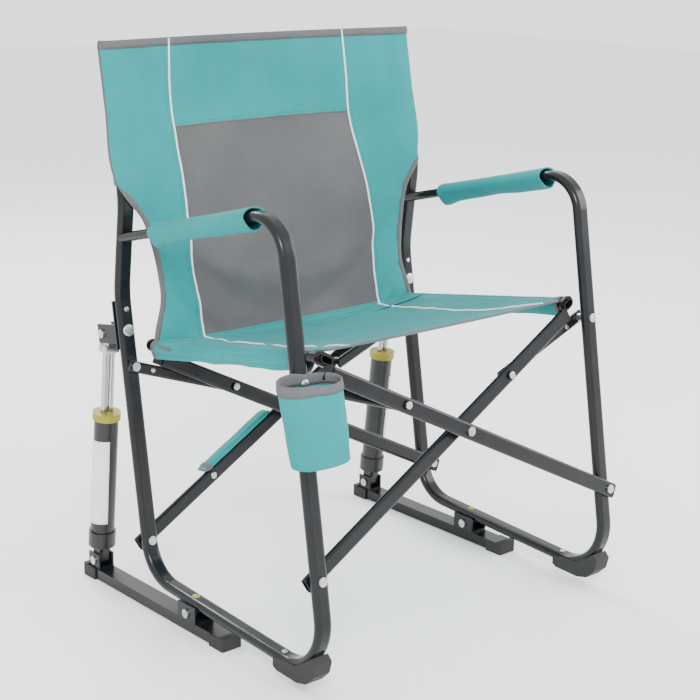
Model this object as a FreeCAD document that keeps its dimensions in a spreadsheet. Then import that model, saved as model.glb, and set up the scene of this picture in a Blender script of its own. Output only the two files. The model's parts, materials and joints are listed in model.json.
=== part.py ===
import FreeCAD, Part

import math
import os

import Sketcher
from FreeCAD import Placement, Rotation, Vector

# Camp rocking chair. Two flat side frames stand on long foot bars and rock on them against a pair of
# dampers. Two X braces, one at the front and one at the rear, carry the seat rails and fold the chair
# sideways. The chair faces -Y, +Z is up and +X is the sitter's left. All sizes are in millimetres.

doc = FreeCAD.newDocument("camp_rocking_chair")

DIMENSIONS = {
    # where the chair's own middle plane stands, so that the whole box is centred on the origin
    "middle_x": 23,
    "half_span": 297,
    # flat-oval frame tube
    "tube_width": 27,
    "tube_depth": 15,
    "tube_wall": 1.5,
    # the two leaning planes in which the X braces fold
    "lean": 9.5,
    "front_pivot_y": -273,
    "front_pivot_z": 177,
    "plane_gap": 417.2,
    # base tube of the side frame
    "base_slope": 3,
    "base_y": -200.6,
    "base_z": 36.5,
    "front_foot_radius": 75,
    "rear_foot_radius": 66,
    "front_joint_drop": 40,
    "rear_joint_drop": 1,
    "pad_extra": 4,
    # arm and back
    "arm_slope": 14.2,
    "arm_front_y": -140,
    "arm_front_z": 667.5,
    "arm_radius": 56,
    "shoulder_up": 392,
    "waist_y": 187,
    "waist_z": 642,
    "top_y": 231.5,
    "top_z": 873,
    "back_radius": 160,
    # X braces
    "brace_rise": 153,
    "brace_width": 24,
    "brace_depth": 10,
    "brace_wall": 1.5,
    "brace_tail": 14,
    "play": 0.5,
    "rear_step": 9,
    "rail_reach": 301.1,
    "rail_offset": 14.5,
    "rail_width": 22,
    "rail_depth": 12,
    "rail_wall": 1.5,
    "rail_tail": 7,
    "ear_width": 30,
    "ear_depth": 20,
    "ear_thickness": 6,
    "root_length": 30,
    "root_gap": 5,
    "bore_span": 60,
    # stay links between the frames and the braces
    "link_reach": 135,
    "link_height": 276.8,
    "link_width": 18,
    "link_depth": 8,
    "boss_radius": 7,
    # bolts
    "bolt_radius": 4,
    "bore_play": 0.3,
    "head_radius": 7,
    "head_height": 3,
    # foot bars
    "foot_width": 30,
    "foot_height": 17,
    "foot_wall": 2,
    "foot_front_y": -70,
    "foot_rear_y": 300,
    "sole": 2,
    "cap_length": 28,
    "cap_lip": 5,
    "cap_skin": 3,
    "nose_flat": 6,
    # rocking pivot
    "rock_y": 16,
    "rock_z": 31.5,
    "rock_ear_gap": 29,
    "rock_ear": 3,
    "rock_ear_length": 44,
    "rock_ear_height": 27,
    "lug_radius": 8.8,
    "lug_width": 24,
    "lug_height": 8.75,
    # dampers
    "damper_y": 279,
    "damper_z": 32,
    "mount_y": 240,
    "mount_z": 424,
    "damper_eye_radius": 9.5,
    "damper_radius": 19.5,
    "damper_start": 34,
    "damper_length": 214,
    "collar_radius": 22,
    "collar_length": 26,
    "collar_drop": 8,
    "ring_radius": 22.5,
    "ring_length": 12,
    "rod_radius": 5,
    "rod_spacing": 11.6,
    "rod_length": 220,
    "rod_bore_play": 0.4,
    "rod_neck": 20,
    "rod_head_width": 24,
    "rod_head_height": 12,
    "eye_width": 20,
    "eye_radius": 11,
    "eye_slack": 3,
    "rod_eye_width": 17,
    "mount_web_height": 76,
    "mount_web_drop": 24,
    "mount_ear_height": 30,
    "fork_gap": 22,
    "fork_plate": 3,
    "fork_length": 30,
    "fork_height": 25,
    # soft parts
    "cloth": 3,
    "cover_width": 44,
    "cover_depth": 25,
    "cover_length": 236,
    "cover_start": 14.5,
    "cover_play": 0.3,
    "seat_start": 20,
    "seat_end": 385,
    "seat_sag": 22,
    "sleeve_play": 1,
    "back_lower_half": 252,
    "back_start": 12,
    "back_lift": 5,
    "cup_half_width": 69,
    "cup_half_depth": 21,
    "cup_base_half_width": 52,
    "cup_base_half_depth": 25,
    "cup_height": 122,
    "cup_bottom_z": 337,
    "cup_wall": 2,
    "cup_gap": 12.5,
    "cup_base_y": -280.5,
    "cup_mouth_shift": 1,
    "cup_base_shift": 4,
    "strap_length": 122,
    "strap_middle": 118,
    "strap_cloth": 2.5,
    "strap_play": 0.2,
}


def make_sheet():
    """The spreadsheet of driving dimensions, one alias for each cell in column B."""
    table = doc.addObject("Spreadsheet::Sheet", "Dims")
    for row, (alias, value) in enumerate(DIMENSIONS.items(), 1):
        table.set(f"A{row}", alias)
        table.set(f"B{row}", str(value))
        table.setAlias(f"B{row}", alias)
    doc.recompute()
    return table


sheet = make_sheet()


def dim(alias):
    return float(sheet.get(alias))


NODES = []


def keep(feature, label, placement=Placement()):
    """Name a finished sub-part, set it in its place and list it for export."""
    feature.Label = label
    middle = Placement(Vector(dim("middle_x"), 0, 0), Rotation())
    feature.Placement = middle.multiply(placement)
    NODES.append(feature)
    return feature


# ---- primitives bound to the sheet -----------------------------------------------------------------

AXIS_TURN = {
    "X": Rotation(Vector(0, 1, 0), 90),
    "Y": Rotation(Vector(1, 0, 0), -90),
    "Z": Rotation(),
}


def set_base(feature, base):
    for axis, value in zip("xyz", base):
        feature.setExpression(f"Placement.Base.{axis}", value)


def block(size, base=("0", "0", "0")):
    """A box whose three sizes and corner are sheet expressions."""
    feature = doc.addObject("Part::Box", "Block")
    for name, value in zip(("Length", "Width", "Height"), size):
        feature.setExpression(name, value)
    set_base(feature, base)
    return feature


def rod(radius, length, base=("0", "0", "0"), axis="Z"):
    """A cylinder along X, Y or Z whose sizes and foot are sheet expressions."""
    feature = doc.addObject("Part::Cylinder", "Rod")
    feature.Placement = Placement(Vector(), AXIS_TURN[axis])
    feature.setExpression("Radius", radius)
    feature.setExpression("Height", length)
    set_base(feature, base)
    return feature


def fuse(*parts):
    feature = doc.addObject("Part::MultiFuse", "Fusion")
    feature.Shapes = list(parts)
    feature.Refine = True
    return feature


def cut(base, *tools):
    feature = doc.addObject("Part::Cut", "Cut")
    feature.Base = base
    feature.Tool = tools[0] if len(tools) == 1 else fuse(*tools)
    return feature


def flat_oval(width, depth, length, base=("0", "0", "0")):
    """A flat-oval bar along X: width along Z, depth along Y, centred on the X axis."""
    x, y, z = base
    half = f"({width} - {depth}) / 2"
    return fuse(
        block((length, depth, f"{width} - {depth}"), (x, f"{y} - {depth} / 2", f"{z} - {half}")),
        rod(f"{depth} / 2", length, (x, y, f"{z} + {half}"), "X"),
        rod(f"{depth} / 2", length, (x, y, f"{z} - {half}"), "X"),
    )


def solid(label, shape, placement=Placement()):
    """A sub-part whose bent or lofted shape neither sketches nor primitives give."""
    feature = doc.addObject("Part::Feature", "Solid")
    feature.Shape = shape
    return keep(feature, label, placement)


# ---- the leaning planes of the X braces ------------------------------------------------------------
# In a brace plane, x runs along X, y runs rearwards across the plane and z runs up along the posts.

LEAN = Rotation(Vector(1, 0, 0), -dim("lean"))
UP = LEAN.multVec(Vector(0, 0, 1))
REAR = LEAN.multVec(Vector(0, 1, 0))
FRONT_ORIGIN = Vector(0, dim("front_pivot_y"), dim("front_pivot_z"))
REAR_ORIGIN = FRONT_ORIGIN + REAR * dim("plane_gap")
ORIGINS = {"front": FRONT_ORIGIN, "rear": REAR_ORIGIN}
SIDES = {"right": -1, "left": 1}
SPAN = dim("half_span")
BRACE_ANGLE = math.degrees(math.atan2(dim("brace_rise"), SPAN))
PIVOT_REACH = math.hypot(dim("brace_rise"), SPAN)


def in_plane(plane, x, y, z, turn=0):
    """A placement in a brace plane; turn lifts the part's own X axis from +X towards the top."""
    spot = ORIGINS[plane] + Vector(x, 0, 0) + REAR * y + UP * z
    return Placement(spot, LEAN.multiply(Rotation(Vector(0, 1, 0), -turn)))


def depth_line(y, z):
    """A point of the side frame's middle line, in the YZ plane."""
    return Vector(0, y, z)


# ---- bent frame tubes ------------------------------------------------------------------------------

def rounded_path(points, radii):
    """Straight runs through points, joined by tangent arcs of the given radii."""
    edges = []
    start = points[0]
    for before, corner, after, radius in zip(points, points[1:], points[2:], radii):
        back = (before - corner).normalize()
        ahead = (after - corner).normalize()
        half_turn = (math.pi - back.getAngle(ahead)) / 2
        reach = radius * math.tan(half_turn)
        first = corner + back * reach
        last = corner + ahead * reach
        bisector = (back + ahead).normalize()
        middle = corner + bisector * (radius / math.cos(half_turn) - radius)
        edges.append(Part.makeLine(start, first))
        edges.append(Part.Arc(first, middle, last).toShape())
        start = last
    edges.append(Part.makeLine(start, points[-1]))
    return Part.Wire(edges)


def oval_wire(centre, along, width, depth):
    """A flat-oval outline across the direction along; its width runs along X."""
    side = Vector(1, 0, 0)
    up = along.cross(side).normalize()
    half, radius = (width - depth) / 2, depth / 2
    corners = [centre + side * sx * half + up * sz * radius
               for sx, sz in ((-1, 1), (1, 1), (1, -1), (-1, -1))]
    ends = [centre + side * sx * (half + radius) for sx in (1, -1)]
    return Part.Wire([
        Part.makeLine(corners[0], corners[1]),
        Part.Arc(corners[1], ends[0], corners[2]).toShape(),
        Part.makeLine(corners[2], corners[3]),
        Part.Arc(corners[3], ends[1], corners[0]).toShape(),
    ])


def swept_oval(path, width, depth):
    first = path.OrderedEdges[0]
    start = path.OrderedVertexes[0].Point
    along = first.tangentAt(first.FirstParameter)
    return path.makePipeShell([oval_wire(start, along, width, depth)], True, True)


def bent_tube(path):
    """The hollow flat-oval tube along a path."""
    wall = dim("tube_wall")
    outer = swept_oval(path, dim("tube_width"), dim("tube_depth"))
    inner = swept_oval(path, dim("tube_width") - 2 * wall, dim("tube_depth") - 2 * wall)
    return outer.cut(inner)


def on_line(point, direction, other, other_direction):
    """Where two straight lines of the side frame cross, in the YZ plane."""
    across = direction.cross(other_direction).x
    step = (other - point).cross(other_direction).x / across
    return point + direction * step


BASE_DIRECTION = Rotation(Vector(1, 0, 0), dim("base_slope")).multVec(Vector(0, 1, 0))
ARM_DIRECTION = Rotation(Vector(1, 0, 0), -dim("arm_slope")).multVec(Vector(0, 1, 0))
BASE_POINT = depth_line(dim("base_y"), dim("base_z"))
ARM_POINT = depth_line(dim("arm_front_y"), dim("arm_front_z"))
FRONT_FOOT = on_line(FRONT_ORIGIN, UP, BASE_POINT, BASE_DIRECTION)
REAR_FOOT = on_line(REAR_ORIGIN, UP, BASE_POINT, BASE_DIRECTION)
ELBOW = on_line(FRONT_ORIGIN, UP, ARM_POINT, ARM_DIRECTION)
SHOULDER = REAR_ORIGIN + UP * dim("shoulder_up")
WAIST = depth_line(dim("waist_y"), dim("waist_z"))
TOP = depth_line(dim("top_y"), dim("top_z"))
BACK_DIRECTION = (WAIST - SHOULDER).normalize()
FRONT_JOINT = FRONT_ORIGIN - UP * dim("front_joint_drop")
REAR_JOINT = REAR_ORIGIN - UP * dim("rear_joint_drop")
BOLT_HOLE = dim("bolt_radius")


def cross_bore(spot, radius, tubes=2):
    """A bolt hole's cylinder across a brace plane, centred on a spot and so many tubes long."""
    length = tubes * dim("tube_depth")
    return Part.makeCylinder(radius, length, spot - REAR * length / 2, REAR)


def back_path():
    return rounded_path([TOP, WAIST, SHOULDER, REAR_JOINT], [dim("back_radius")] * 2)


def back_tube_shape():
    pivots = [REAR_ORIGIN, REAR_ORIGIN + UP * dim("link_height")]
    return bent_tube(back_path()).cut([cross_bore(spot, BOLT_HOLE) for spot in pivots])


def base_path():
    radii = [dim("rear_foot_radius"), dim("front_foot_radius")]
    return rounded_path([REAR_JOINT, REAR_FOOT, FRONT_FOOT, FRONT_JOINT], radii)


def base_tube_shape():
    return bent_tube(base_path()).cut(cross_bore(REAR_ORIGIN, BOLT_HOLE))


def arm_tube_shape():
    """The front post and arm in one bend; the arm's rear end is coped to fit the back tube."""
    weld = on_line(ARM_POINT, ARM_DIRECTION, SHOULDER, BACK_DIRECTION)
    path = rounded_path([FRONT_JOINT, ELBOW, weld], [dim("arm_radius")])
    pivots = [FRONT_ORIGIN, FRONT_ORIGIN + UP * dim("link_height")]
    tools = [cross_bore(spot, BOLT_HOLE) for spot in pivots]
    tools.append(swept_oval(back_path(), dim("tube_width"), dim("tube_depth")))
    return max(bent_tube(path).cut(tools).Solids, key=lambda piece: piece.Volume)


# the front pad's side view, as (y, z) corners
PAD_OUTLINE = [(-192, 38), (-192, 24), (-200, 20), (-246, 18), (-266, 23),
               (-281, 38), (-286, 57), (-277, 66), (-262, 55), (-240, 42)]


def front_pad_shape():
    """The rubber pad that hugs the underside of the front foot bend."""
    width = dim("tube_width") + dim("pad_extra")
    points = [Vector(-width / 2, y, z) for y, z in PAD_OUTLINE]
    slab = Part.Face(Part.makePolygon(points + points[:1])).extrude(Vector(width, 0, 0))
    pad = slab.cut(swept_oval(base_path(), dim("tube_width"), dim("tube_depth")))
    return max(pad.Solids, key=lambda piece: piece.Volume)


def rock_lug():
    """The lug under the base tube that turns on the rocking bolt."""
    bore = "Dims.bolt_radius + Dims.bore_play"
    width, start = "Dims.lug_width", "-Dims.lug_width / 2"
    web = block((width, "2 * Dims.lug_radius", "Dims.lug_height"), (start, "-Dims.lug_radius", "0"))
    barrel = rod("Dims.lug_radius", width, (start, "0", "0"), "X")
    return cut(fuse(web, barrel), rod(bore, f"2 * {width}", (f"-{width}", "0", "0"), "X"))


def side_frame(side):
    """One side frame: three tubes, the rocking lug and the front pad."""
    spot = Placement(Vector(SIDES[side] * SPAN, 0, 0), Rotation())
    solid(f"back_tube_{side}", back_tube_shape(), spot)
    solid(f"base_tube_{side}", base_tube_shape(), spot)
    solid(f"arm_tube_{side}", arm_tube_shape(), spot)
    solid(f"front_pad_{side}", front_pad_shape(), spot)
    lug_turn = Rotation(Vector(1, 0, 0), dim("base_slope"))
    keep(rock_lug(), f"rock_lug_{side}",
         Placement(Vector(SIDES[side] * SPAN, dim("rock_y"), dim("rock_z")), lug_turn))


# ---- foot bars -------------------------------------------------------------------------------------

def foot_bar(side):
    """The flat tube that lies along the floor, its two rubber caps and its two brackets."""
    x = SIDES[side] * SPAN
    length = "(Dims.foot_rear_y - Dims.foot_front_y)"
    outer = block(("Dims.foot_width", length, "Dims.foot_height"), ("-Dims.foot_width / 2", "0", "0"))
    inner = block(
        ("Dims.foot_width - 2 * Dims.foot_wall", length, "Dims.foot_height - 2 * Dims.foot_wall"),
        ("Dims.foot_wall - Dims.foot_width / 2", "0", "Dims.foot_wall"))
    keep(cut(outer, inner), f"foot_bar_{side}",
         Placement(Vector(x, dim("foot_front_y"), dim("sole")), Rotation()))
    foot_cap(side, "front", dim("foot_front_y"), 0)
    foot_cap(side, "rear", dim("foot_rear_y"), 180)


def foot_cap(side, end, y, turn):
    """A rubber cap over one end of a foot bar, with a rounded nose and a sole under the bar."""
    width, height = "(Dims.foot_width + 2 * Dims.cap_skin)", "(Dims.foot_height + 2 * Dims.sole)"
    nose = "Dims.foot_width / 2 + Dims.cap_skin"
    body = block((width, "Dims.cap_length", height), (f"-{width} / 2", "0", "0"))
    rounding = rod(nose, height, ("0", "0", "0"))
    flat = block((width, nose, height), (f"-{width} / 2", f"-({nose})", "0"))
    blunt = block((width, nose, height), (f"-{width} / 2", f"-({nose}) - Dims.nose_flat", "0"))
    common = doc.addObject("Part::MultiCommon", "Nose")
    common.Shapes = [rounding, cut(flat, blunt)]
    pocket = block(("Dims.foot_width", "Dims.cap_length", "Dims.foot_height"),
                   ("-Dims.foot_width / 2", "0", "Dims.sole"))
    notch = block((width, "Dims.cap_length", "Dims.sole"),
                  (f"-{width} / 2", "Dims.cap_lip", "Dims.foot_height + Dims.sole"))
    keep(cut(fuse(body, common), pocket, notch), f"foot_cap_{end}_{side}",
         Placement(Vector(SIDES[side] * SPAN, y, 0), Rotation(Vector(0, 0, 1), turn)))


def u_bracket(gap, plate, length, height, bore_height, bore):
    """A channel that stands on a foot bar, with a cross bore through its two ears."""
    wide = f"({gap} + 2 * {plate})"
    whole = block((wide, length, height), (f"-{wide} / 2", f"-{length} / 2", "0"))
    slot = block((gap, f"2 * {length}", height), (f"-{gap} / 2", f"-{length}", plate))
    hole = rod(bore, f"2 * {wide}", (f"-{wide}", "0", bore_height), "X")
    return cut(whole, slot, hole)


def cross_bolt(radius, grip, head="Dims.head_radius"):
    """A bolt along X, centred on its grip, with a round head at each end."""
    tip = "Dims.head_height"
    shank = rod(radius, f"({grip})", (f"-({grip}) / 2", "0", "0"), "X")
    heads = [rod(head, tip, (start, "0", "0"), "X")
             for start in (f"({grip}) / 2", f"-({grip}) / 2 - {tip}")]
    return fuse(shank, *heads)


def foot_pivots(side):
    """The brackets on the foot bar for the rocking bolt and for the damper's lower bolt."""
    x = SIDES[side] * SPAN
    deck = dim("sole") + dim("foot_height")
    rock_ears = u_bracket("Dims.rock_ear_gap", "Dims.rock_ear", "Dims.rock_ear_length",
                          "Dims.rock_ear_height", "Dims.rock_z - Dims.sole - Dims.foot_height",
                          "Dims.bolt_radius")
    keep(rock_ears, f"rock_bracket_{side}", Placement(Vector(x, dim("rock_y"), deck), Rotation()))
    grip = "Dims.rock_ear_gap + 2 * Dims.rock_ear"
    keep(cross_bolt("Dims.bolt_radius", grip), f"rock_bolt_{side}",
         Placement(Vector(x, dim("rock_y"), dim("rock_z")), Rotation()))
    fork = u_bracket("Dims.fork_gap", "Dims.fork_plate", "Dims.fork_length", "Dims.fork_height",
                     "Dims.damper_z - Dims.sole - Dims.foot_height", "Dims.bolt_radius")
    keep(fork, f"damper_fork_{side}", Placement(Vector(x, dim("damper_y"), deck), Rotation()))
    grip = "Dims.fork_gap + 2 * Dims.fork_plate"
    keep(cross_bolt("Dims.bolt_radius", grip), f"damper_bolt_{side}",
         Placement(Vector(x, dim("damper_y"), dim("damper_z")), Rotation()))


# ---- dampers ---------------------------------------------------------------------------------------
# A damper's own Z axis runs from its lower bolt to its upper bolt.

DAMPER_LINE = Vector(0, dim("mount_y") - dim("damper_y"), dim("mount_z") - dim("damper_z"))
DAMPER_SPAN = DAMPER_LINE.Length
DAMPER_TURN = Rotation(Vector(0, 0, 1), DAMPER_LINE)


def damper(side):
    """Cylinder with its lower eye, the ring on its mouth, and the twin rods with their upper eye."""
    spot = Placement(Vector(SIDES[side] * SPAN, dim("damper_y"), dim("damper_z")), DAMPER_TURN)
    bore = "Dims.bolt_radius + Dims.bore_play"
    eye = rod("Dims.damper_eye_radius", "Dims.eye_width", ("-Dims.eye_width / 2", "0", "0"), "X")
    neck = block(("Dims.eye_width", "2 * Dims.damper_eye_radius", "Dims.damper_start"),
                 ("-Dims.eye_width / 2", "-Dims.damper_eye_radius", "0"))
    collar = rod("Dims.collar_radius", "Dims.collar_length",
                 ("0", "0", "Dims.damper_start - Dims.collar_drop"))
    barrel = rod("Dims.damper_radius", "Dims.damper_length", ("0", "0", "Dims.damper_start"))
    stub = rod("Dims.head_radius", "Dims.damper_eye_radius + Dims.head_height",
               ("0", "-Dims.damper_eye_radius - Dims.head_height", "Dims.damper_start / 2"), "Y")
    hole = rod(bore, "2 * Dims.eye_width", ("-Dims.eye_width", "0", "0"), "X")
    mouth = "Dims.damper_start + Dims.damper_length"
    bores = rod_pair("Dims.rod_radius + Dims.rod_bore_play", "Dims.damper_length",
                     "Dims.damper_start + Dims.collar_length")
    keep(cut(fuse(eye, neck, collar, barrel, stub), hole, *bores), f"damper_cylinder_{side}", spot)
    ring = rod("Dims.ring_radius", "Dims.ring_length", ("0", "0", mouth))
    ring_bores = rod_pair("Dims.rod_radius + Dims.rod_bore_play", "2 * Dims.ring_length", f"{mouth} - 1")
    keep(cut(ring, *ring_bores), f"damper_ring_{side}", spot)
    damper_rods(side)


def rod_pair(radius, length, start):
    return [rod(radius, length, (f"{sign}Dims.rod_spacing / 2", "0", start)) for sign in ("", "-")]


def damper_rods(side):
    """The two polished rods hang from one upper eye, whose bore leaves slack round the mount bolt."""
    top = Vector(SIDES[side] * SPAN, dim("mount_y"), dim("mount_z"))
    rods = rod_pair("Dims.rod_radius", "Dims.rod_length", "-Dims.rod_length")
    eye = rod("Dims.eye_radius", "Dims.rod_eye_width", ("-Dims.rod_eye_width / 2", "0", "0"), "X")
    head = block(("Dims.rod_head_width", "2 * Dims.eye_radius", "Dims.rod_head_height"),
                 ("-Dims.rod_head_width / 2", "-Dims.eye_radius", "-Dims.rod_neck - Dims.rod_head_height"))
    neck = block(("Dims.rod_eye_width", "2 * Dims.eye_radius", "Dims.rod_neck"),
                 ("-Dims.rod_eye_width / 2", "-Dims.eye_radius", "-Dims.rod_neck"))
    hole = rod("Dims.bolt_radius + Dims.eye_slack", "2 * Dims.rod_eye_width",
               ("-Dims.rod_eye_width", "0", "0"), "X")
    keep(cut(fuse(eye, neck, head, *rods), hole), f"damper_rods_{side}", Placement(top, DAMPER_TURN))


def damper_mount(side):
    """The channel behind the rear leg that holds the damper's upper eye."""
    spot = Vector(0, dim("mount_y"), dim("mount_z")) - REAR_ORIGIN
    reach, height = spot.dot(REAR), spot.dot(UP)
    gap, plate = "Dims.fork_gap", "Dims.fork_plate"
    wide = f"({gap} + 2 * {plate})"
    start = "Dims.tube_depth / 2"
    web = block((wide, plate, "Dims.mount_web_height"), (f"-{wide} / 2", start, "-Dims.mount_web_drop"))
    ears = block((wide, f"{reach:.3f} - {start} + Dims.eye_radius", "Dims.mount_ear_height"),
                 (f"-{wide} / 2", start, "-Dims.mount_ear_height / 2"))
    slot = block((gap, "Dims.mount_web_height", "2 * Dims.mount_ear_height"),
                 (f"-{gap} / 2", f"{start} + {plate}", "-Dims.mount_ear_height"))
    hole = rod("Dims.bolt_radius", f"2 * {wide}", (f"-{wide}", f"{reach:.3f}", "0"), "X")
    keep(cut(fuse(web, ears), slot, hole), f"damper_mount_{side}",
         in_plane("rear", SIDES[side] * SPAN, 0, height))
    keep(cross_bolt("Dims.bolt_radius", wide), f"mount_bolt_{side}",
         Placement(Vector(SIDES[side] * SPAN, dim("mount_y"), dim("mount_z")), Rotation()))


# ---- X braces --------------------------------------------------------------------------------------
# A brace's own X axis runs along it from the frame pivot (-X) to the seat rail (+X); Z is its upper edge.
# The braces named a start at the left frame and rise to the right, those named b mirror them.

LAYERS = {
    ("front", "a"): -dim("tube_depth") / 2 - dim("play") - dim("brace_depth") / 2,
    ("front", "b"): dim("tube_depth") / 2 + dim("play") + dim("brace_depth") / 2,
    ("rear", "a"): -dim("tube_depth") / 2 - dim("play") - dim("rear_step") - dim("brace_depth") / 2,
    ("rear", "b"): dim("tube_depth") / 2 + dim("play") + dim("brace_depth") / 2,
}


# sizes that a slot loop is drawn with before its constraints take their values from the sheet
START_RADIUS, START_HALF = 4.0, 7.0


def brace_section(body, width, depth, wall):
    """A sketch of the brace's flat-oval tube section on the YZ plane, bound to the sheet."""
    sketch = body.newObject("Sketcher::SketchObject", "Section")
    plane = next(item for item in body.Origin.OriginFeatures if item.Role == "YZ_Plane")
    sketch.AttachmentSupport = [(plane, "")]
    sketch.MapMode = "FlatFace"
    for inset, tag in (("0", "outer"), (wall, "inner")):
        oval_loop(sketch, width, depth, inset, tag)
    return sketch


def oval_loop(sketch, width, depth, inset, tag):
    """Add one slot-shaped loop: two arcs of equal radius whose centres lie on the sketch's V axis."""
    radius, half = START_RADIUS, START_HALF
    arcs = []
    for sign in (1, -1):
        start = 0 if sign > 0 else math.pi
        circle = Part.Circle(Vector(0, sign * half, 0), Vector(0, 0, 1), radius)
        arcs.append(sketch.addGeometry(Part.ArcOfCircle(circle, start, start + math.pi), False))
    right = sketch.addGeometry(Part.LineSegment(Vector(radius, -half, 0), Vector(radius, half, 0)), False)
    left = sketch.addGeometry(Part.LineSegment(Vector(-radius, half, 0), Vector(-radius, -half, 0)), False)
    link = Sketcher.Constraint
    sketch.addConstraint([
        link("Tangent", right, 2, arcs[0], 1),
        link("Tangent", arcs[0], 2, left, 1),
        link("Tangent", left, 2, arcs[1], 1),
        link("Tangent", arcs[1], 2, right, 1),
        link("PointOnObject", arcs[0], 3, -2),
        link("Symmetric", arcs[0], 3, arcs[1], 3, -1, 1),
        link("Equal", arcs[0], arcs[1]),
    ])
    spread = sketch.addConstraint(link("DistanceY", arcs[1], 3, arcs[0], 3, 2 * half))
    round_end = sketch.addConstraint(link("Radius", arcs[0], radius))
    sketch.renameConstraint(spread, f"{tag}_spread")
    sketch.renameConstraint(round_end, f"{tag}_radius")
    sketch.setExpression(f"Constraints.{tag}_spread", f"{width} - {depth}")
    sketch.setExpression(f"Constraints.{tag}_radius", f"{depth} / 2 - {inset}")


def tube_body(label, width, depth, wall, length, start):
    """A straight flat-oval tube made as a body: one section sketch and one pad."""
    body = doc.addObject("PartDesign::Body", "Tube")
    sketch = brace_section(body, width, depth, wall)
    sketch.AttachmentOffset = Placement(Vector(0, 0, start), Rotation())
    pad = body.newObject("PartDesign::Pad", "Run")
    pad.Profile = sketch
    pad.setExpression("Length", length)
    doc.recompute()
    body.Tip = pad
    return body


def y_bore(radius, x, z):
    return rod(radius, "Dims.bore_span", (x, "-Dims.bore_span / 2", z), "Y")


def brace(plane, name):
    """One brace: hollow bar, flattened ear round the seat rail, and the bores for its three bolts."""
    reach = f"{PIVOT_REACH:.3f}"
    bar = tube_body("bar", "Dims.brace_width", "Dims.brace_depth", "Dims.brace_wall",
                    f"{reach} + Dims.brace_tail + Dims.rail_reach - Dims.ear_depth",
                    -PIVOT_REACH - dim("brace_tail"))
    half = "Dims.ear_thickness / 2"
    root_height = "(Dims.brace_width - Dims.brace_wall)"
    root = block(("Dims.root_length", "Dims.ear_thickness", root_height),
                 ("Dims.rail_reach - Dims.root_length - Dims.root_gap", f"-{half}", f"-{root_height} / 2"))
    ear = rail_oval("Dims.ear_width", "Dims.ear_depth", "Dims.ear_thickness", f"-{half}")
    window = rail_oval("Dims.rail_width", "Dims.rail_depth", "4 * Dims.ear_thickness",
                       "-2 * Dims.ear_thickness")
    turning = "Dims.bolt_radius + Dims.bore_play"
    crossing = "Dims.bolt_radius" if name == "b" else turning
    holes = [y_bore(turning, f"-{reach}", "0"), y_bore(crossing, "0", "0")]
    whole = cut(fuse(bar, root, ear, *link_end(plane, name)), window, *holes)
    placement = in_plane(plane, 0, LAYERS[plane, name], dim("brace_rise"), BRACE_ANGLE)
    if name == "a":
        placement = in_plane(plane, 0, LAYERS[plane, name], dim("brace_rise"), 180 - BRACE_ANGLE)
        placement = placement.multiply(Placement(Vector(), Rotation(Vector(1, 0, 0), 180)))
    keep(whole, f"brace_{plane}_{name}", placement)


def rail_oval(width, depth, length, start):
    """A flat-oval plug along Y at the rail's place on a brace; its width lies along the brace."""
    half = f"({width} - {depth}) / 2"
    x, z = "Dims.rail_reach", "Dims.rail_offset"
    return fuse(
        block((f"{width} - {depth}", length, depth), (f"{x} - {half}", start, f"{z} - {depth} / 2")),
        rod(f"{depth} / 2", length, (f"{x} + {half}", start, z), "Y"),
        rod(f"{depth} / 2", length, (f"{x} - {half}", start, z), "Y"),
    )


def seat_rail(side):
    """The flat-oval rail that runs from the front brace to the rear brace through their ears."""
    name = "a" if side == "right" else "b"
    start = LAYERS["front", name] - dim("rail_tail")
    end = dim("plane_gap") + LAYERS["rear", name] + dim("rail_tail")
    bar = tube_body("rail", "Dims.rail_width", "Dims.rail_depth", "Dims.rail_wall", f"{end - start:.3f}", 0)
    turn = SIDES[side] * BRACE_ANGLE
    x, z = rail_spot(SIDES[side])
    lay = in_plane("front", x, start, z, turn)
    lengthwise = Rotation(Vector(0, 0, 1), 90).multiply(Rotation(Vector(1, 0, 0), 90))
    keep(bar, f"seat_rail_{side}", lay.multiply(Placement(Vector(), lengthwise)))


def rail_spot(sign):
    """Where a seat rail's middle line crosses the front brace plane."""
    angle = math.radians(BRACE_ANGLE)
    x = dim("rail_reach") * math.cos(angle) - dim("rail_offset") * math.sin(angle)
    z = dim("brace_rise") + dim("rail_reach") * math.sin(angle) + dim("rail_offset") * math.cos(angle)
    return sign * x, z


# ---- bolts across the brace planes -----------------------------------------------------------------

def plane_bolt(label, plane, x, z, front, rear, collar=None):
    """A bolt across a brace plane from y = front to y = rear, with heads outside and an optional spacer."""
    length = rear - front
    pieces = [
        rod("Dims.bolt_radius", f"{length:.3f}", ("0", f"{front:.3f}", "0"), "Y"),
        rod("Dims.head_radius", "Dims.head_height", ("0", f"{front:.3f} - Dims.head_height", "0"), "Y"),
        rod("Dims.head_radius", "Dims.head_height", ("0", f"{rear:.3f}", "0"), "Y"),
    ]
    if collar:
        start, end = collar
        pieces.append(rod("Dims.boss_radius", f"{end - start:.3f}", ("0", f"{start:.3f}", "0"), "Y"))
    keep(fuse(*pieces), label, in_plane(plane, x, 0, z))


HALF_TUBE = dim("tube_depth") / 2
GAP = dim("play")
HALF_BRACE = dim("brace_depth") / 2


def faces(plane, name):
    """The front and rear faces of a brace, as y in its plane."""
    middle = LAYERS[plane, name]
    return middle - HALF_BRACE, middle + HALF_BRACE


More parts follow.
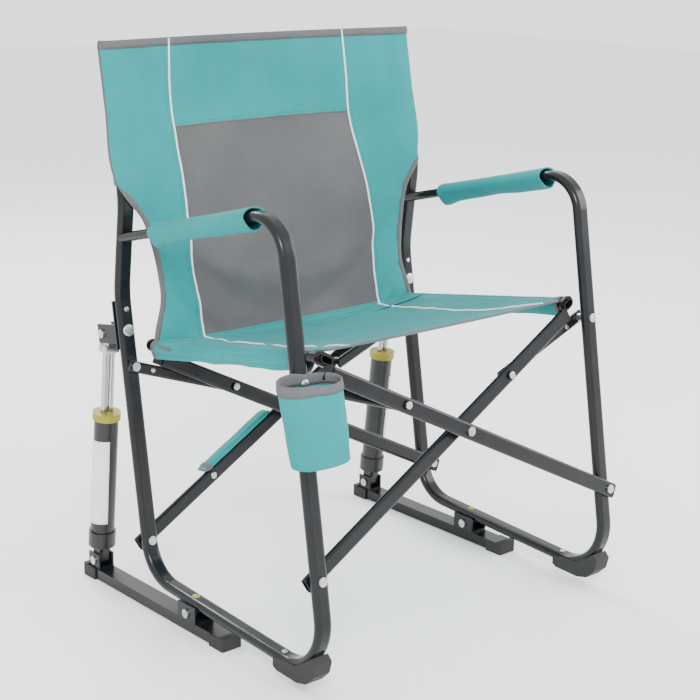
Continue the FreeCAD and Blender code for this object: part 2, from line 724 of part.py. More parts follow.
def frame_pivots():
    """The bolts that hold the braces and the stay links to the posts and the rear legs."""
    for plane in ("front", "rear"):
        a_front = faces(plane, "a")[0]
        b_rear = faces(plane, "b")[1]
        spacer = (faces(plane, "a")[1] + GAP / 2, -HALF_TUBE) if plane == "rear" else None
        plane_bolt(f"{plane}_pivot_bolt_left", plane, SPAN, 0, a_front - GAP / 2, HALF_TUBE, spacer)
        plane_bolt(f"{plane}_pivot_bolt_right", plane, -SPAN, 0, -HALF_TUBE, b_rear + GAP / 2)
        for side, sign in SIDES.items():
            plane_bolt(f"{plane}_link_bolt_{side}", plane, sign * SPAN, dim("link_height"),
                       *LINK_BOLTS[plane, side])


def crossing_bolts():
    """The bolt and spacer at the middle of each X."""
    for plane in ("front", "rear"):
        front = faces(plane, "a")[0] - GAP / 2
        rear = faces(plane, "b")[1]
        spacer = (faces(plane, "a")[1] + GAP / 2, faces(plane, "b")[0])
        plane_bolt(f"{plane}_cross_bolt", plane, 0, dim("brace_rise"), front, rear, spacer)


# ---- stay links ------------------------------------------------------------------------------------

LINK_DEPTH = dim("link_depth")
LINK_LAYERS = {
    ("front", "right"): HALF_TUBE + GAP + LINK_DEPTH / 2,
    ("front", "left"): HALF_TUBE + GAP + dim("brace_depth") + 2 * GAP + LINK_DEPTH / 2,
    ("rear", "right"): -HALF_TUBE - GAP - LINK_DEPTH / 2,
    ("rear", "left"): -HALF_TUBE - GAP - LINK_DEPTH / 2,
}
LINK_BOLTS = {
    ("front", "right"): (-HALF_TUBE - dim("cup_gap") - dim("cup_wall") - GAP,
                         HALF_TUBE + GAP + LINK_DEPTH + GAP / 2,
                         (-HALF_TUBE - dim("cup_gap") + 3 * GAP, -HALF_TUBE)),
    ("front", "left"): (-HALF_TUBE, LINK_LAYERS["front", "left"] + LINK_DEPTH / 2 + GAP / 2,
                        (HALF_TUBE, LINK_LAYERS["front", "left"] - LINK_DEPTH / 2 - GAP / 2)),
    ("rear", "right"): (-HALF_TUBE - GAP - LINK_DEPTH - GAP / 2, HALF_TUBE, None),
    ("rear", "left"): (-HALF_TUBE - GAP - LINK_DEPTH - GAP / 2, HALF_TUBE, None),
}


def link_line():
    """Length and slope of a stay link, from the post bolt to its bolt on the brace."""
    angle = math.radians(BRACE_ANGLE)
    across = SPAN - dim("link_reach") * math.cos(angle)
    drop = dim("link_height") - dim("brace_rise") - dim("link_reach") * math.sin(angle)
    return math.hypot(across, drop), math.degrees(math.atan2(-drop, across))


def stay_link(plane, side):
    """A flat-oval stay link; the bolt at its brace end is left open so that the chain stays a tree."""
    length, slope = link_line()
    bar = flat_oval("Dims.link_width", "Dims.link_depth", f"{length:.3f} + Dims.link_width",
                    ("-Dims.link_width / 2", "0", "0"))
    whole = cut(bar, y_bore("Dims.bolt_radius + Dims.bore_play", "0", "0"))
    turn = slope if side == "right" else 180 - slope
    keep(whole, f"stay_link_{plane}_{side}",
         in_plane(plane, SIDES[side] * SPAN, LINK_LAYERS[plane, side], dim("link_height"), turn))


def link_end(plane, name):
    """On a brace, the bolt head and the boss that would carry the stay link's free end."""
    side = "right" if name == "a" else "left"
    front, rear = faces(plane, name)
    link_front = LINK_LAYERS[plane, side] - LINK_DEPTH / 2
    low, high = (rear, link_front - GAP) if link_front > rear else (link_front + LINK_DEPTH + GAP, front)
    pieces = [("Dims.head_radius", front - dim("head_height"), front)]
    if high - low > 2 * GAP:
        pieces.append(("Dims.boss_radius", low, high))
    middle = LAYERS[plane, name]
    flip = 1 if name == "b" else -1
    ends = []
    for radius, start, end in pieces:
        first = min(flip * (start - middle), flip * (end - middle))
        ends.append(rod(radius, f"{end - start:.3f}", ("Dims.link_reach", f"{first:.3f}", "0"), "Y"))
    return ends


# ---- soft parts ------------------------------------------------------------------------------------

def seat_cloth():
    """The seat sling: a sagging panel between two sleeves that run along the rails."""
    x, z = rail_spot(1)
    play, cloth = dim("sleeve_play"), dim("cloth")
    width, depth = dim("rail_width") + 2 * play, dim("rail_depth") + 2 * play
    length = dim("seat_end") - dim("seat_start")
    top = z + depth / 2
    arc_top = band_edge(x, top + cloth / 2, dim("seat_sag"))
    arc_low = band_edge(x, top - cloth / 2, dim("seat_sag"))
    ends = [Part.makeLine(Vector(sign * x, 0, top + cloth / 2), Vector(sign * x, 0, top - cloth / 2))
            for sign in (1, -1)]
    rim = Part.Wire([arc_top, ends[0], arc_low, ends[1]])
    panel = Part.Face(rim).extrude(Vector(0, length, 0))
    sleeves = []
    bores = []
    for sign in (-1, 1):
        turn = -sign * BRACE_ANGLE
        sleeves.append(oval_plug(sign * x, z, width + 2 * cloth, depth + 2 * cloth, length, turn))
        bores.append(oval_plug(sign * x, z, width, depth, length, turn))
    shape = panel.fuse(sleeves).cut(bores).removeSplitter()
    solid("seat_cloth", max(shape.Solids, key=lambda piece: piece.Volume),
          in_plane("front", 0, dim("seat_start"), 0))


def band_edge(half, height, sag):
    ends = [Vector(-half, 0, height), Vector(half, 0, height)]
    return Part.Arc(ends[0], Vector(0, 0, height - sag), ends[1]).toShape()


def oval_plug(x, z, width, depth, length, turn):
    """A flat-oval plug along Y whose width is turned in the XZ plane."""
    half, radius = (width - depth) / 2, depth / 2
    shape = Part.makeBox(2 * half, length, depth, Vector(-half, 0, -radius))
    ends = [Part.makeCylinder(radius, length, Vector(sign * half, 0, 0), Vector(0, 1, 0))
            for sign in (-1, 1)]
    shape = shape.fuse(ends).removeSplitter()
    shape.Placement = Placement(Vector(x, 0, z), Rotation(Vector(0, 1, 0), turn))
    return shape


def back_cloth():
    """The back sling: sleeves round the upper back tubes, a panel between them and a narrower one below."""
    cloth, play = dim("cloth"), dim("sleeve_play")
    along = (TOP - WAIST).normalize()
    low, high = WAIST + along * dim("back_start"), TOP + along * dim("back_lift")
    height = (high - low).Length
    width, depth = dim("tube_width") + play, dim("tube_depth") + play
    turn = Rotation(Vector(0, 0, 1), along)
    outer = [upright_oval(sign * SPAN, width + 2 * cloth, depth + 2 * cloth, height) for sign in (-1, 1)]
    inner = [upright_oval(sign * SPAN, width, depth, height - cloth) for sign in (-1, 1)]
    face_y = -depth / 2 - cloth
    panel = Part.makeBox(2 * SPAN, cloth, height, Vector(-SPAN, face_y, 0))
    upper = panel.fuse(outer).cut(inner)
    upper.Placement = Placement(low, turn)
    shape = upper.fuse(lower_back(low + turn.multVec(Vector(0, face_y + cloth / 2, 0)))).removeSplitter()
    solid("back_cloth", max(shape.Solids, key=lambda piece: piece.Volume))


def upright_oval(x, width, depth, height):
    half, radius = (width - depth) / 2, depth / 2
    shape = Part.makeBox(2 * half, depth, height, Vector(x - half, -radius, 0))
    ends = [Part.makeCylinder(radius, height, Vector(x + sign * half, 0, 0)) for sign in (-1, 1)]
    return shape.fuse(ends).removeSplitter()


# the lower back's side view, as (y, z) steps from the bottom of the upper panel
LOWER_BACK_CURVE = [(0, 6), (-10, -70), (-16, -150), (-22, -208)]


def lower_back(start):
    """The part of the back below the sleeves, curving forwards to the rear edge of the seat."""
    half, cloth = dim("back_lower_half"), dim("cloth")
    spots = [start + depth_line(y, z) for y, z in LOWER_BACK_CURVE]
    curve = Part.BSplineCurve()
    curve.interpolate(spots)
    path = Part.Wire([curve.toShape()])
    profile = Part.makePolygon([spots[0] + Vector(sx * half, sy * cloth / 2, 0)
                                for sx, sy in ((-1, -1), (1, -1), (1, 1), (-1, 1), (-1, -1))])
    return path.makePipeShell([profile], True, False)


def arm_cover(side):
    """The padded sleeve on one arm, split from the tube by a little air."""
    length, play = "Dims.cover_length", "Dims.cover_play"
    whole = flat_oval("Dims.cover_width", "Dims.cover_depth", length)
    bore = flat_oval(f"(Dims.tube_width + 2 * {play})", f"(Dims.tube_depth + 2 * {play})",
                     f"2 * {length}", (f"-{length} / 2", "0", "0"))
    spot = Vector(SIDES[side] * SPAN, 0, 0) + ARM_POINT + ARM_DIRECTION * dim("cover_start")
    # the bar's own X goes along the arm and its width, along its own Z, goes across the chair
    turn = Rotation(ARM_DIRECTION, Vector(0, 0, 0), Vector(1, 0, 0), "XZY")
    keep(cut(whole, bore), f"arm_cover_{side}", Placement(spot, turn))


def cup_holder():
    """The cloth cup pocket in front of the right post: an oval mouth over a smaller oval base."""
    wall, height = dim("cup_wall"), dim("cup_height")
    post = FRONT_ORIGIN + UP * ((dim("cup_bottom_z") + height - dim("front_pivot_z")) / UP.z)
    back = post.y - HALF_TUBE - dim("cup_gap")
    mouth = (Vector(-SPAN + dim("cup_mouth_shift"), back - dim("cup_half_depth"),
                    dim("cup_bottom_z") + height),
             dim("cup_half_width"), dim("cup_half_depth"))
    base = (Vector(-SPAN - dim("cup_base_shift"), dim("cup_base_y"), dim("cup_bottom_z")),
            dim("cup_base_half_width"), dim("cup_base_half_depth"))
    outer = Part.makeLoft([oval_ring(base, 0), oval_ring(mouth, 0)], True)
    lifted = (base[0] + Vector(0, 0, wall), base[1], base[2])
    inner = Part.makeLoft([oval_ring(lifted, wall), oval_ring(mouth, wall)], True)
    above = (mouth[0] + Vector(0, 0, 1), mouth[1], mouth[2])
    lid = Part.makeLoft([oval_ring(mouth, wall), oval_ring(above, wall)], True)
    bolt = Vector(-SPAN, 0, 0) + FRONT_ORIGIN + UP * dim("link_height")
    solid("cup_holder", outer.cut([inner, lid, cross_bore(bolt, BOLT_HOLE, 4)]))


def oval_ring(ring, inset):
    centre, half_width, half_depth = ring
    ellipse = Part.Ellipse(centre, half_width - inset, half_depth - inset)
    return Part.Wire([ellipse.toShape()])


def carry_strap():
    """The cloth carry strap wrapped round the lower half of the rear brace b."""
    length, cloth, play = "Dims.strap_length", "Dims.strap_cloth", "Dims.strap_play"
    whole = flat_oval(f"(Dims.brace_width + 2 * {cloth})", f"(Dims.brace_depth + 2 * {cloth})", length,
                      (f"-Dims.strap_middle - {length} / 2", "0", "0"))
    bore = flat_oval(f"(Dims.brace_width + 2 * {play})", f"(Dims.brace_depth + 2 * {play})",
                     f"2 * {length}", (f"-Dims.strap_middle - {length}", "0", "0"))
    keep(cut(whole, bore), "carry_strap",
         in_plane("rear", 0, LAYERS["rear", "b"], dim("brace_rise"), BRACE_ANGLE))


# ---- build, check and export -----------------------------------------------------------------------

def build():
    for side in SIDES:
        side_frame(side)
        foot_bar(side)
        foot_pivots(side)
        damper(side)
        damper_mount(side)
        seat_rail(side)
        arm_cover(side)
        for plane in ORIGINS:
            stay_link(plane, side)
    for plane in ORIGINS:
        for name in ("a", "b"):
            brace(plane, name)
    frame_pivots()
    crossing_bolts()
    seat_cloth()
    back_cloth()
    cup_holder()
    carry_strap()
    doc.recompute()


def check():
    for feature in doc.Objects:
        if "Invalid" in feature.State or "Error" in feature.State:
            raise RuntimeError(f"{feature.Name} ({feature.Label}) failed: {feature.State}")
    for feature in NODES:
        shape = feature.Shape
        if shape.isNull() or not shape.isValid() or not shape.Solids:
            raise RuntimeError(f"{feature.Label} has no valid solid")


def export():
    os.makedirs("parts", exist_ok=True)
    for feature in NODES:
        feature.Shape.exportStep(f"parts/{feature.Label}.step")


build()
check()
export()
print(len(NODES), "nodes")
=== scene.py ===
import json
import math

import bpy
import numpy as np
from mathutils import Matrix, Vector, noise
from mathutils.bvhtree import BVHTree


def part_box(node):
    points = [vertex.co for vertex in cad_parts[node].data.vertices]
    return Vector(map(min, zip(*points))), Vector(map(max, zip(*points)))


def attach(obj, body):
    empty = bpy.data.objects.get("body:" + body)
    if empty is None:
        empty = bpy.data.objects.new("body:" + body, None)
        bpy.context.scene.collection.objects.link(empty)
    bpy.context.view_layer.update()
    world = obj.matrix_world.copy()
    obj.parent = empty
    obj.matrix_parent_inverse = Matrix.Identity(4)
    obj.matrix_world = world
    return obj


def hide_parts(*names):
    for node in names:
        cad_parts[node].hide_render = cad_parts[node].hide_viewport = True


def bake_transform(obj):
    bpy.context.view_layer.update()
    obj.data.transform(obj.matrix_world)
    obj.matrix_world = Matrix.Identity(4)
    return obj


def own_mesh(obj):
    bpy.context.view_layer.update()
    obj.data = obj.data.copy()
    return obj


# The looks of the camp rocking chair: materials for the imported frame, the cloth, tapes, piping and padding
# that stand for its plain soft solids, and the small trim. Everything is in metres, in the frame's own axes.

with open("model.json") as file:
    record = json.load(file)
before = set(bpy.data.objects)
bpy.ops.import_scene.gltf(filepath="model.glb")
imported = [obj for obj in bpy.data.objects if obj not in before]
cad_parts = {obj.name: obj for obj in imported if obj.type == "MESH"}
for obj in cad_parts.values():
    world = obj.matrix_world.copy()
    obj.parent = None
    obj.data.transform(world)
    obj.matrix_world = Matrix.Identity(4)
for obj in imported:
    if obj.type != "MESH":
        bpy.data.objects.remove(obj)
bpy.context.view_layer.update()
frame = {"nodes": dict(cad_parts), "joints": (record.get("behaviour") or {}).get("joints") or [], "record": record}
scene = bpy.context.scene
RIGHT, LEFT = -1, 1
SIDE_NAMES = {RIGHT: "right", LEFT: "left"}


# ---- places read from the frame --------------------------------------------------------------------

def middle_of(node):
    low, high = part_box(node)
    return (low + high) / 2


def node_tree(name):
    return BVHTree.FromObject(frame["nodes"][name], bpy.context.evaluated_depsgraph_get())


def joint(name):
    return next(item for item in frame["joints"] if item["name"] == name)


MIDDLE = (middle_of("back_tube_left").x + middle_of("back_tube_right").x) / 2
SPAN = (middle_of("back_tube_left").x - middle_of("back_tube_right").x) / 2
REAR = -Vector(joint("fold")["axis"])
UP = Vector((0, -REAR.z, REAR.y))
TUBE_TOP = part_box("back_tube_left")[1].z - 0.008
FRONT_PLANE = Vector((MIDDLE, *joint("fold")["pos_m"][1:]))
BACK_TUBE = node_tree("back_tube_left")


def in_plane(x, y, z):
    """A point in the front brace plane's own axes: x across, y to the rear, z up along the posts."""
    return FRONT_PLANE + Vector((x, 0, 0)) + REAR * y + UP * z


def back_tube_faces(height):
    """The front and rear y of the back tube at a height."""
    height = min(height, TUBE_TOP)
    front = BACK_TUBE.ray_cast(Vector((MIDDLE + SPAN, -1, height)), Vector((0, 1, 0)))[0]
    rear = BACK_TUBE.ray_cast(Vector((MIDDLE + SPAN, 1, height)), Vector((0, -1, 0)))[0]
    return front.y, rear.y


def rail_middle():
    """The left seat rail's x from the chair's middle, and its height along the posts."""
    points = [vertex.co for vertex in frame["nodes"]["seat_rail_left"].data.vertices]
    x = sum(point.x for point in points) / len(points) - MIDDLE
    z = sum((point - FRONT_PLANE).dot(UP) for point in points) / len(points)
    return x, z


# ---- mesh helpers ----------------------------------------------------------------------------------

def link(name, mesh):
    piece = bpy.data.objects.new(name, mesh)
    scene.collection.objects.link(piece)
    return piece


def grid_piece(name, rows, around=False, smooth=True):
    """A quad grid through rows of points, with UVs in metres along its columns and rows."""
    height, width = len(rows), len(rows[0])
    points = [point for row in rows for point in row]
    columns = width if around else width - 1
    corners = ((0, 0), (0, 1), (1, 1), (1, 0))
    faces = [tuple((r + dr) * width + (c + dc) % width for dr, dc in corners)
             for r in range(height - 1) for c in range(columns)]
    mesh = bpy.data.meshes.new(name)
    mesh.from_pydata(points, [], faces)
    across = [0.0]
    for first, second in zip(rows[0], [*rows[0][1:], rows[0][0]]):
        across.append(across[-1] + (Vector(second) - Vector(first)).length)
    along = [0.0]
    for first, second in zip(rows, rows[1:]):
        along.append(along[-1] + (Vector(second[width // 2]) - Vector(first[width // 2])).length)
    layer = mesh.uv_layers.new(name="UVMap")
    loop = 0
    for r in range(height - 1):
        for c in range(columns):
            for dr, dc in corners:
                layer.data[loop].uv = (across[c + dc], along[r + dr])
                loop += 1
    mesh.polygons.foreach_set("use_smooth", [smooth] * len(mesh.polygons))
    return link(name, mesh)


def sweep_piece(name, points, sides, normals, outline, closed=False):
    """A profile swept along points; each profile point is (share along the side, share along the normal)."""
    rows = []
    for point, side, normal in zip(points, sides, normals):
        rows.append([point + side * a + normal * b for a, b in outline])
    if closed:
        rows.append(rows[0])
    piece = grid_piece(name, rows, around=True)
    if not closed:
        cap_ends(piece, len(outline), len(rows))
    return piece


def cap_ends(piece, width, height, both=True):
    """Close a swept piece's last ring with one face, and its first ring too when both is true."""
    mesh = piece.data
    points = [vertex.co.copy() for vertex in mesh.vertices]
    faces = [tuple(polygon.vertices) for polygon in mesh.polygons]
    uvs = [tuple(item.uv) for item in mesh.uv_layers["UVMap"].data]
    last = (height - 1) * width
    caps = [tuple(reversed(range(width)))] if both else []
    caps.append(tuple(range(last, last + width)))
    uvs += [(0.0, 0.0)] * (len(caps) * width)
    fresh = bpy.data.meshes.new(piece.name)
    fresh.from_pydata(points, [], faces + caps)
    layer = fresh.uv_layers.new(name="UVMap")
    for item, uv in zip(layer.data, uvs):
        item.uv = uv
    fresh.polygons.foreach_set("use_smooth", [True] * len(fresh.polygons))
    piece.data = fresh


def round_outline(radius_a, radius_b, count=12):
    turn = 2 * math.pi / count
    return [(radius_a * math.cos(i * turn), radius_b * math.sin(i * turn)) for i in range(count)]


def tape_outline(width, thickness):
    """A flat tape whose fold stands past the cloth's edge: thin towards the cloth, round at the fold."""
    half = thickness / 2
    return [(-width, -half * 0.7), (-width * 0.5, -half), (-half, -half), (half * 0.6, -half * 0.5),
            (half * 0.9, 0), (half * 0.6, half * 0.5), (-half, half), (-width * 0.5, half), (-width, half * 0.7)]


def tangents(points, closed=False):
    count = len(points)
    out = []
    for i in range(count):
        before = points[(i - 1) % count] if closed or i else points[0]
        after = points[(i + 1) % count] if closed or i < count - 1 else points[-1]
        out.append((after - before).normalized())
    return out


def evenly(points, step):
    """Points spaced evenly along a polyline, about a step apart."""
    lengths = [0.0]
    for first, second in zip(points, points[1:]):
        lengths.append(lengths[-1] + (second - first).length)
    count = max(2, round(lengths[-1] / step) + 1)
    axes = [np.interp(np.linspace(0, lengths[-1], count), lengths, [point[axis] for point in points])
            for axis in range(3)]
    return [Vector(point) for point in zip(*axes)]


def smoothed(points, rounds=2):
    """A polyline with its kinks eased: each inner point moves towards its neighbours' middle."""
    for _ in range(rounds):
        points = [points[0], *[(a + b * 2 + c) / 4 for a, b, c in zip(points, points[1:], points[2:])], points[-1]]
    return points


def thicken(piece, thickness, offset=0.0):
    """Give a cloth grid its thickness, as part of its mesh."""
    solidify = piece.modifiers.new("Thickness", "SOLIDIFY")
    solidify.thickness = thickness
    solidify.offset = offset
    bake_modifiers(piece)


def bake_modifiers(piece):
    """Apply every modifier on a piece and leave the result as its mesh."""
    graph = bpy.context.evaluated_depsgraph_get()
    graph.update()
    mesh = bpy.data.meshes.new_from_object(piece.evaluated_get(graph), preserve_all_data_layers=True,
                                           depsgraph=graph)
    piece.modifiers.clear()
    piece.data = mesh


# ---- materials -------------------------------------------------------------------------------------

COLOUR_MIX_INPUTS, COLOUR_MIX_RESULT = (0, 6, 7), 2


class Shader:
    """A small builder for node materials: each helper returns the socket that it made."""

    def __init__(self, name):
        self.material = bpy.data.materials.new(name)
        self.material.use_nodes = True
        self.nodes = self.material.node_tree.nodes
        self.links = self.material.node_tree.links
        self.surface = self.nodes["Principled BSDF"]

    def add(self, kind):
        return self.nodes.new(kind)

    def join(self, source, target):
        self.links.new(source, target)

    def coordinates(self, kind, scale=(1, 1, 1)):
        node = self.add("ShaderNodeTexCoord")
        mapping = self.add("ShaderNodeMapping")
        mapping.inputs["Scale"].default_value = scale
        self.join(node.outputs[kind], mapping.inputs["Vector"])
        return mapping.outputs["Vector"]

    def noise(self, vector, scale, detail=3, roughness=0.5):
        node = self.add("ShaderNodeTexNoise")
        node.inputs["Scale"].default_value = scale
        node.inputs["Detail"].default_value = detail
        node.inputs["Roughness"].default_value = roughness
        self.join(vector, node.inputs["Vector"])
        return node.outputs["Fac"]

    def wave(self, vector, scale, direction="X", distortion=0.0):
        node = self.add("ShaderNodeTexWave")
        node.bands_direction = direction
        node.inputs["Scale"].default_value = scale
        node.inputs["Distortion"].default_value = distortion
        self.join(vector, node.inputs["Vector"])
        return node.outputs["Fac"]

    def maths(self, operation, first, second):
        node = self.add("ShaderNodeMath")
        node.operation = operation
        for socket, value in zip(node.inputs, (first, second)):
            if isinstance(value, (int, float)):
                socket.default_value = value
            else:
                self.join(value, socket)
        return node.outputs["Value"]

    def ramp(self, factor, stops):
        """A colour ramp from (position, colour) stops."""
        node = self.add("ShaderNodeValToRGB")
        elements = node.color_ramp.elements
        while len(elements) < len(stops):
            elements.new(0.5)
        for element, (position, colour) in zip(elements, stops):
            element.position = position
            element.color = (*colour, 1)
        self.join(factor, node.inputs["Fac"])
        return node.outputs["Color"]

    def mix(self, factor, first, second):
        """Blend two colours; each is a socket or a tuple, and the factor is a socket."""
        node = self.add("ShaderNodeMix")
        node.data_type = "RGBA"
        for index, value in zip(COLOUR_MIX_INPUTS, (factor, first, second)):
            if isinstance(value, tuple):
                node.inputs[index].default_value = (*value, 1)
            else:
                self.join(value, node.inputs[index])
        return node.outputs[COLOUR_MIX_RESULT]

    def spread(self, factor, low, high):
        """Map a 0 to 1 factor to low to high."""
        node = self.add("ShaderNodeMapRange")
        node.inputs["To Min"].default_value = low
        node.inputs["To Max"].default_value = high
        self.join(factor, node.inputs["Value"])
        return node.outputs["Result"]

    def bump(self, height, strength, distance):
        node = self.add("ShaderNodeBump")
        node.inputs["Strength"].default_value = strength
        node.inputs["Distance"].default_value = distance
        self.join(height, node.inputs["Height"])
        self.join(node.outputs["Normal"], self.surface.inputs["Normal"])

    def put(self, **sockets):
        """Set or link the surface's sockets by name, with underscores for spaces."""
        for key, value in sockets.items():
            socket = self.surface.inputs[key.replace("_", " ")]
            if isinstance(value, tuple):
                socket.default_value = (*value, 1) if len(value) == 3 else value
            elif isinstance(value, (int, float)):
                socket.default_value = value
            else:
                self.join(value, socket)
        return self.material


def hard_material(name, patches, grain, stops, bump, rough, stretch=(1, 1, 1), **sockets):
    """A hard finish: patches set its colour and roughness, and the grain, or the patches, its relief."""
    shader = Shader(name)
    place = shader.coordinates("Object", stretch)
    blotch = shader.noise(place, *patches)
    colour = shader.ramp(blotch, stops)
    shader.bump(shader.noise(place, *grain) if grain else blotch, *bump)
    return shader.put(Base_Color=colour, Roughness=shader.spread(blotch, *rough), **sockets)


def paint_material():
    """Glossy charcoal powder coat with a slight orange peel and dusty, rubbed patches."""
    return hard_material("frame_paint", (14, 5, 0.6), (900, 2),
                         [(0.3, (0.0045, 0.005, 0.006)), (0.75, (0.008, 0.0088, 0.0105))], (0.10, 0.0003),
                         (0.20, 0.34), Metallic=0.0, Coat_Weight=0.08, Coat_Roughness=0.08,
                         Specular_IOR_Level=0.25)


def rubber_material():
    """Black rubber, grained and scuffed."""
    return hard_material("black_rubber", (60, 6, 0.7), (1400, 3),
                         [(0.35, (0.004, 0.004, 0.0045)), (0.8, (0.012, 0.012, 0.013))], (0.35, 0.0005),
                         (0.55, 0.85))


def metal_material(name, dark, light, rough, stretch):
    """Bright metal with fine turning marks."""
    return hard_material(name, (60, 4, 0.7), None, [(0.3, dark), (0.7, light)], (0.08, 0.0003),
                         (rough * 0.7, rough * 1.4), stretch, Metallic=1.0)


def plastic_material(name, dark, light, rough):
    """Moulded plastic with a fine grain."""
    return hard_material(name, (30, 4), (1100, 2), [(0.3, dark), (0.75, light)], (0.15, 0.0004),
                         (rough * 0.8, rough * 1.25))


THREAD = 0.0011


def cloth_material(name, dark, light, pitch=THREAD, strength=0.3, sheen=0.06, mottle=7.0):
    """Plain-weave polyester: crossing threads, mottled dye and a soft sheen. Its UVs are in metres."""
    shader = Shader(name)
    uv = shader.coordinates("UV")
    place = shader.coordinates("Object")
    turns = math.pi / 10 / pitch
    warp = shader.wave(uv, turns, "X", 0.6)
    weft = shader.wave(uv, turns, "Y", 0.6)
    weave = shader.maths("MULTIPLY", warp, weft)
    slub = shader.noise(place, 320, 4, 0.6)
    patches = shader.noise(place, mottle, 4, 0.55)
    blend = shader.maths("ADD", shader.maths("MULTIPLY", patches, 0.6), shader.maths("MULTIPLY", slub, 0.4))
    colour = shader.ramp(blend, [(0.3, dark), (0.7, light)])
    shaded = shader.mix(shader.maths("MULTIPLY", weave, 0.12), colour, tuple(c * 0.55 for c in dark))
    shader.bump(shader.maths("ADD", weave, shader.maths("MULTIPLY", slub, 0.5)), strength, 0.0004)
    return shader.put(Base_Color=shaded, Roughness=shader.spread(slub, 0.72, 0.92), Sheen_Weight=sheen,
                      Sheen_Roughness=0.45, Specular_IOR_Level=0.3)


def mesh_material():
    """Fine knitted mesh: rows of small holes in a grey knit, each hole's pit painted towards near black as painted
    shade.
    """
    shader = Shader("grey_mesh")
    uv = shader.coordinates("UV")
    place = shader.coordinates("Object")
    cells = shader.add("ShaderNodeTexVoronoi")
    cells.inputs["Scale"].default_value = 620
    cells.inputs["Randomness"].default_value = 0.25
    shader.join(uv, cells.inputs["Vector"])
    holes = shader.spread(cells.outputs["Distance"], 0.0, 1.6)
    patches = shader.noise(place, 9, 4)
    base = shader.ramp(patches, [(0.3, (0.074, 0.075, 0.077)), (0.75, (0.098, 0.099, 0.101))])
    # Painted shade: the base colour is darkened towards near black in each hole's pit, where the bump sinks it.
    colour = shader.mix(shader.ramp(holes, [(0.25, (0.55, 0.55, 0.55)), (0.6, (0.0, 0.0, 0.0))]), base,
                        (0.022, 0.022, 0.023))
    shader.bump(holes, 0.5, 0.0006)
    return shader.put(Base_Color=colour, Roughness=0.85, Sheen_Weight=0.08, Specular_IOR_Level=0.3)


def floor_material():
    shader = Shader("floor")
    place = shader.coordinates("Object")
    patches = shader.noise(place, 1.5, 2)
    colour = shader.ramp(patches, [(0.3, (0.90, 0.90, 0.90)), (0.8, (0.93, 0.93, 0.93))])
    return shader.put(Base_Color=colour, Roughness=0.85)


TEAL_DARK, TEAL_LIGHT = (0.0, 0.175, 0.180), (0.003, 0.240, 0.244)
materials = {
    "frame_paint": paint_material(),
    "black_rubber": rubber_material(),
    "zinc_bolt": metal_material("zinc_bolt", (0.36, 0.37, 0.37), (0.56, 0.57, 0.56), 0.32, (1, 1, 1)),
    "damper_black": plastic_material("damper_black", (0.005, 0.005, 0.0055), (0.009, 0.009, 0.010), 0.35),
    "damper_yellow": plastic_material("damper_yellow", (0.22, 0.185, 0.002), (0.30, 0.25, 0.004), 0.42),
    "polished_rod": metal_material("polished_rod", (0.36, 0.37, 0.37), (0.52, 0.53, 0.53), 0.14, (1, 1, 14)),
    "teal_cloth": cloth_material("teal_cloth", TEAL_DARK, TEAL_LIGHT),
    "grey_mesh": mesh_material(),
    "grey_binding": cloth_material("grey_binding", (0.074, 0.076, 0.079), (0.106, 0.108, 0.112),
                                   0.0016, 0.5, 0.06),
    "teal_thread": cloth_material("teal_thread", (0.003, 0.095, 0.10), (0.008, 0.135, 0.14), 0.0009),
    "white_piping": cloth_material("white_piping", (0.66, 0.68, 0.68), (0.82, 0.84, 0.84),
                                   0.0009, 0.3, 0.05),
    "white_label": plastic_material("white_label", (0.70, 0.70, 0.70), (0.78, 0.78, 0.78), 0.4),
}


def dress(piece, name):
    piece.data.materials.clear()
    piece.data.materials.append(materials[name])
    return piece


def dress_frame():
    """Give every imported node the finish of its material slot."""
    slots = {item["node"]: item["material_slot"] for item in frame["record"]["subparts"]}
    for name, node in frame["nodes"].items():
        dress(node, slots[name])


def finish_piece(piece, body, material):
    """Material and body for a new piece."""
    dress(piece, material)
    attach(piece, body)
    return piece


# ---- camera, light and floor -----------------------------------------------------------------------

CAMERA_ANGLES = (-41.20, 14.37, 0.91)
CAMERA_PLACE = Vector((MIDDLE - 1.6407, -1.8508, 1.0782))
CAMERA_LENS, CAMERA_SENSOR, CAMERA_SHIFT = 83.4, 36.0, (0.0096, -0.0416)
WORLD_COLOUR, WORLD_STRENGTH = (0.95, 0.96, 0.97, 1), 2.0
FLOOR_HALF = 9.0
LAMPS = (("key", (-2.2, -2.6, 2.6), (0, 0, 0.4), 1.3, 150),
         ("fill", (2.6, -1.6, 1.6), (0, 0, 0.4), 1.8, 60),
         ("rim", (0.6, 2.6, 2.4), (0, 0, 0.5), 1.4, 80))


def make_camera():
    """The view: its angles are azimuth, elevation and roll, in degrees."""
    azimuth, elevation, roll = (math.radians(angle) for angle in CAMERA_ANGLES)
    back = Vector((math.sin(azimuth) * math.cos(elevation), -math.cos(azimuth) * math.cos(elevation),
                   math.sin(elevation)))
    right = Vector((math.cos(azimuth), math.sin(azimuth), 0))
    up = back.cross(right)
    x_axis = right * math.cos(roll) + up * math.sin(roll)
    y_axis = up * math.cos(roll) - right * math.sin(roll)
    data = bpy.data.cameras.new("camera")
    data.lens, data.sensor_width = CAMERA_LENS, CAMERA_SENSOR
    data.shift_x, data.shift_y = CAMERA_SHIFT
    camera = bpy.data.objects.new("camera", data)
    turn = Matrix((x_axis, y_axis, back)).transposed()
    camera.matrix_world = Matrix.Translation(CAMERA_PLACE) @ turn.to_4x4()
    scene.collection.objects.link(camera)
    scene.camera = camera


def area_light(name, place, target, size, power):
    data = bpy.data.lights.new(name, "AREA")
    data.shape, data.size, data.energy = "DISK", size, power
    lamp = bpy.data.objects.new(name, data)
    lamp.location = place
    lamp.rotation_euler = (Vector(target) - Vector(place)).to_track_quat("-Z", "Y").to_euler()
    scene.collection.objects.link(lamp)


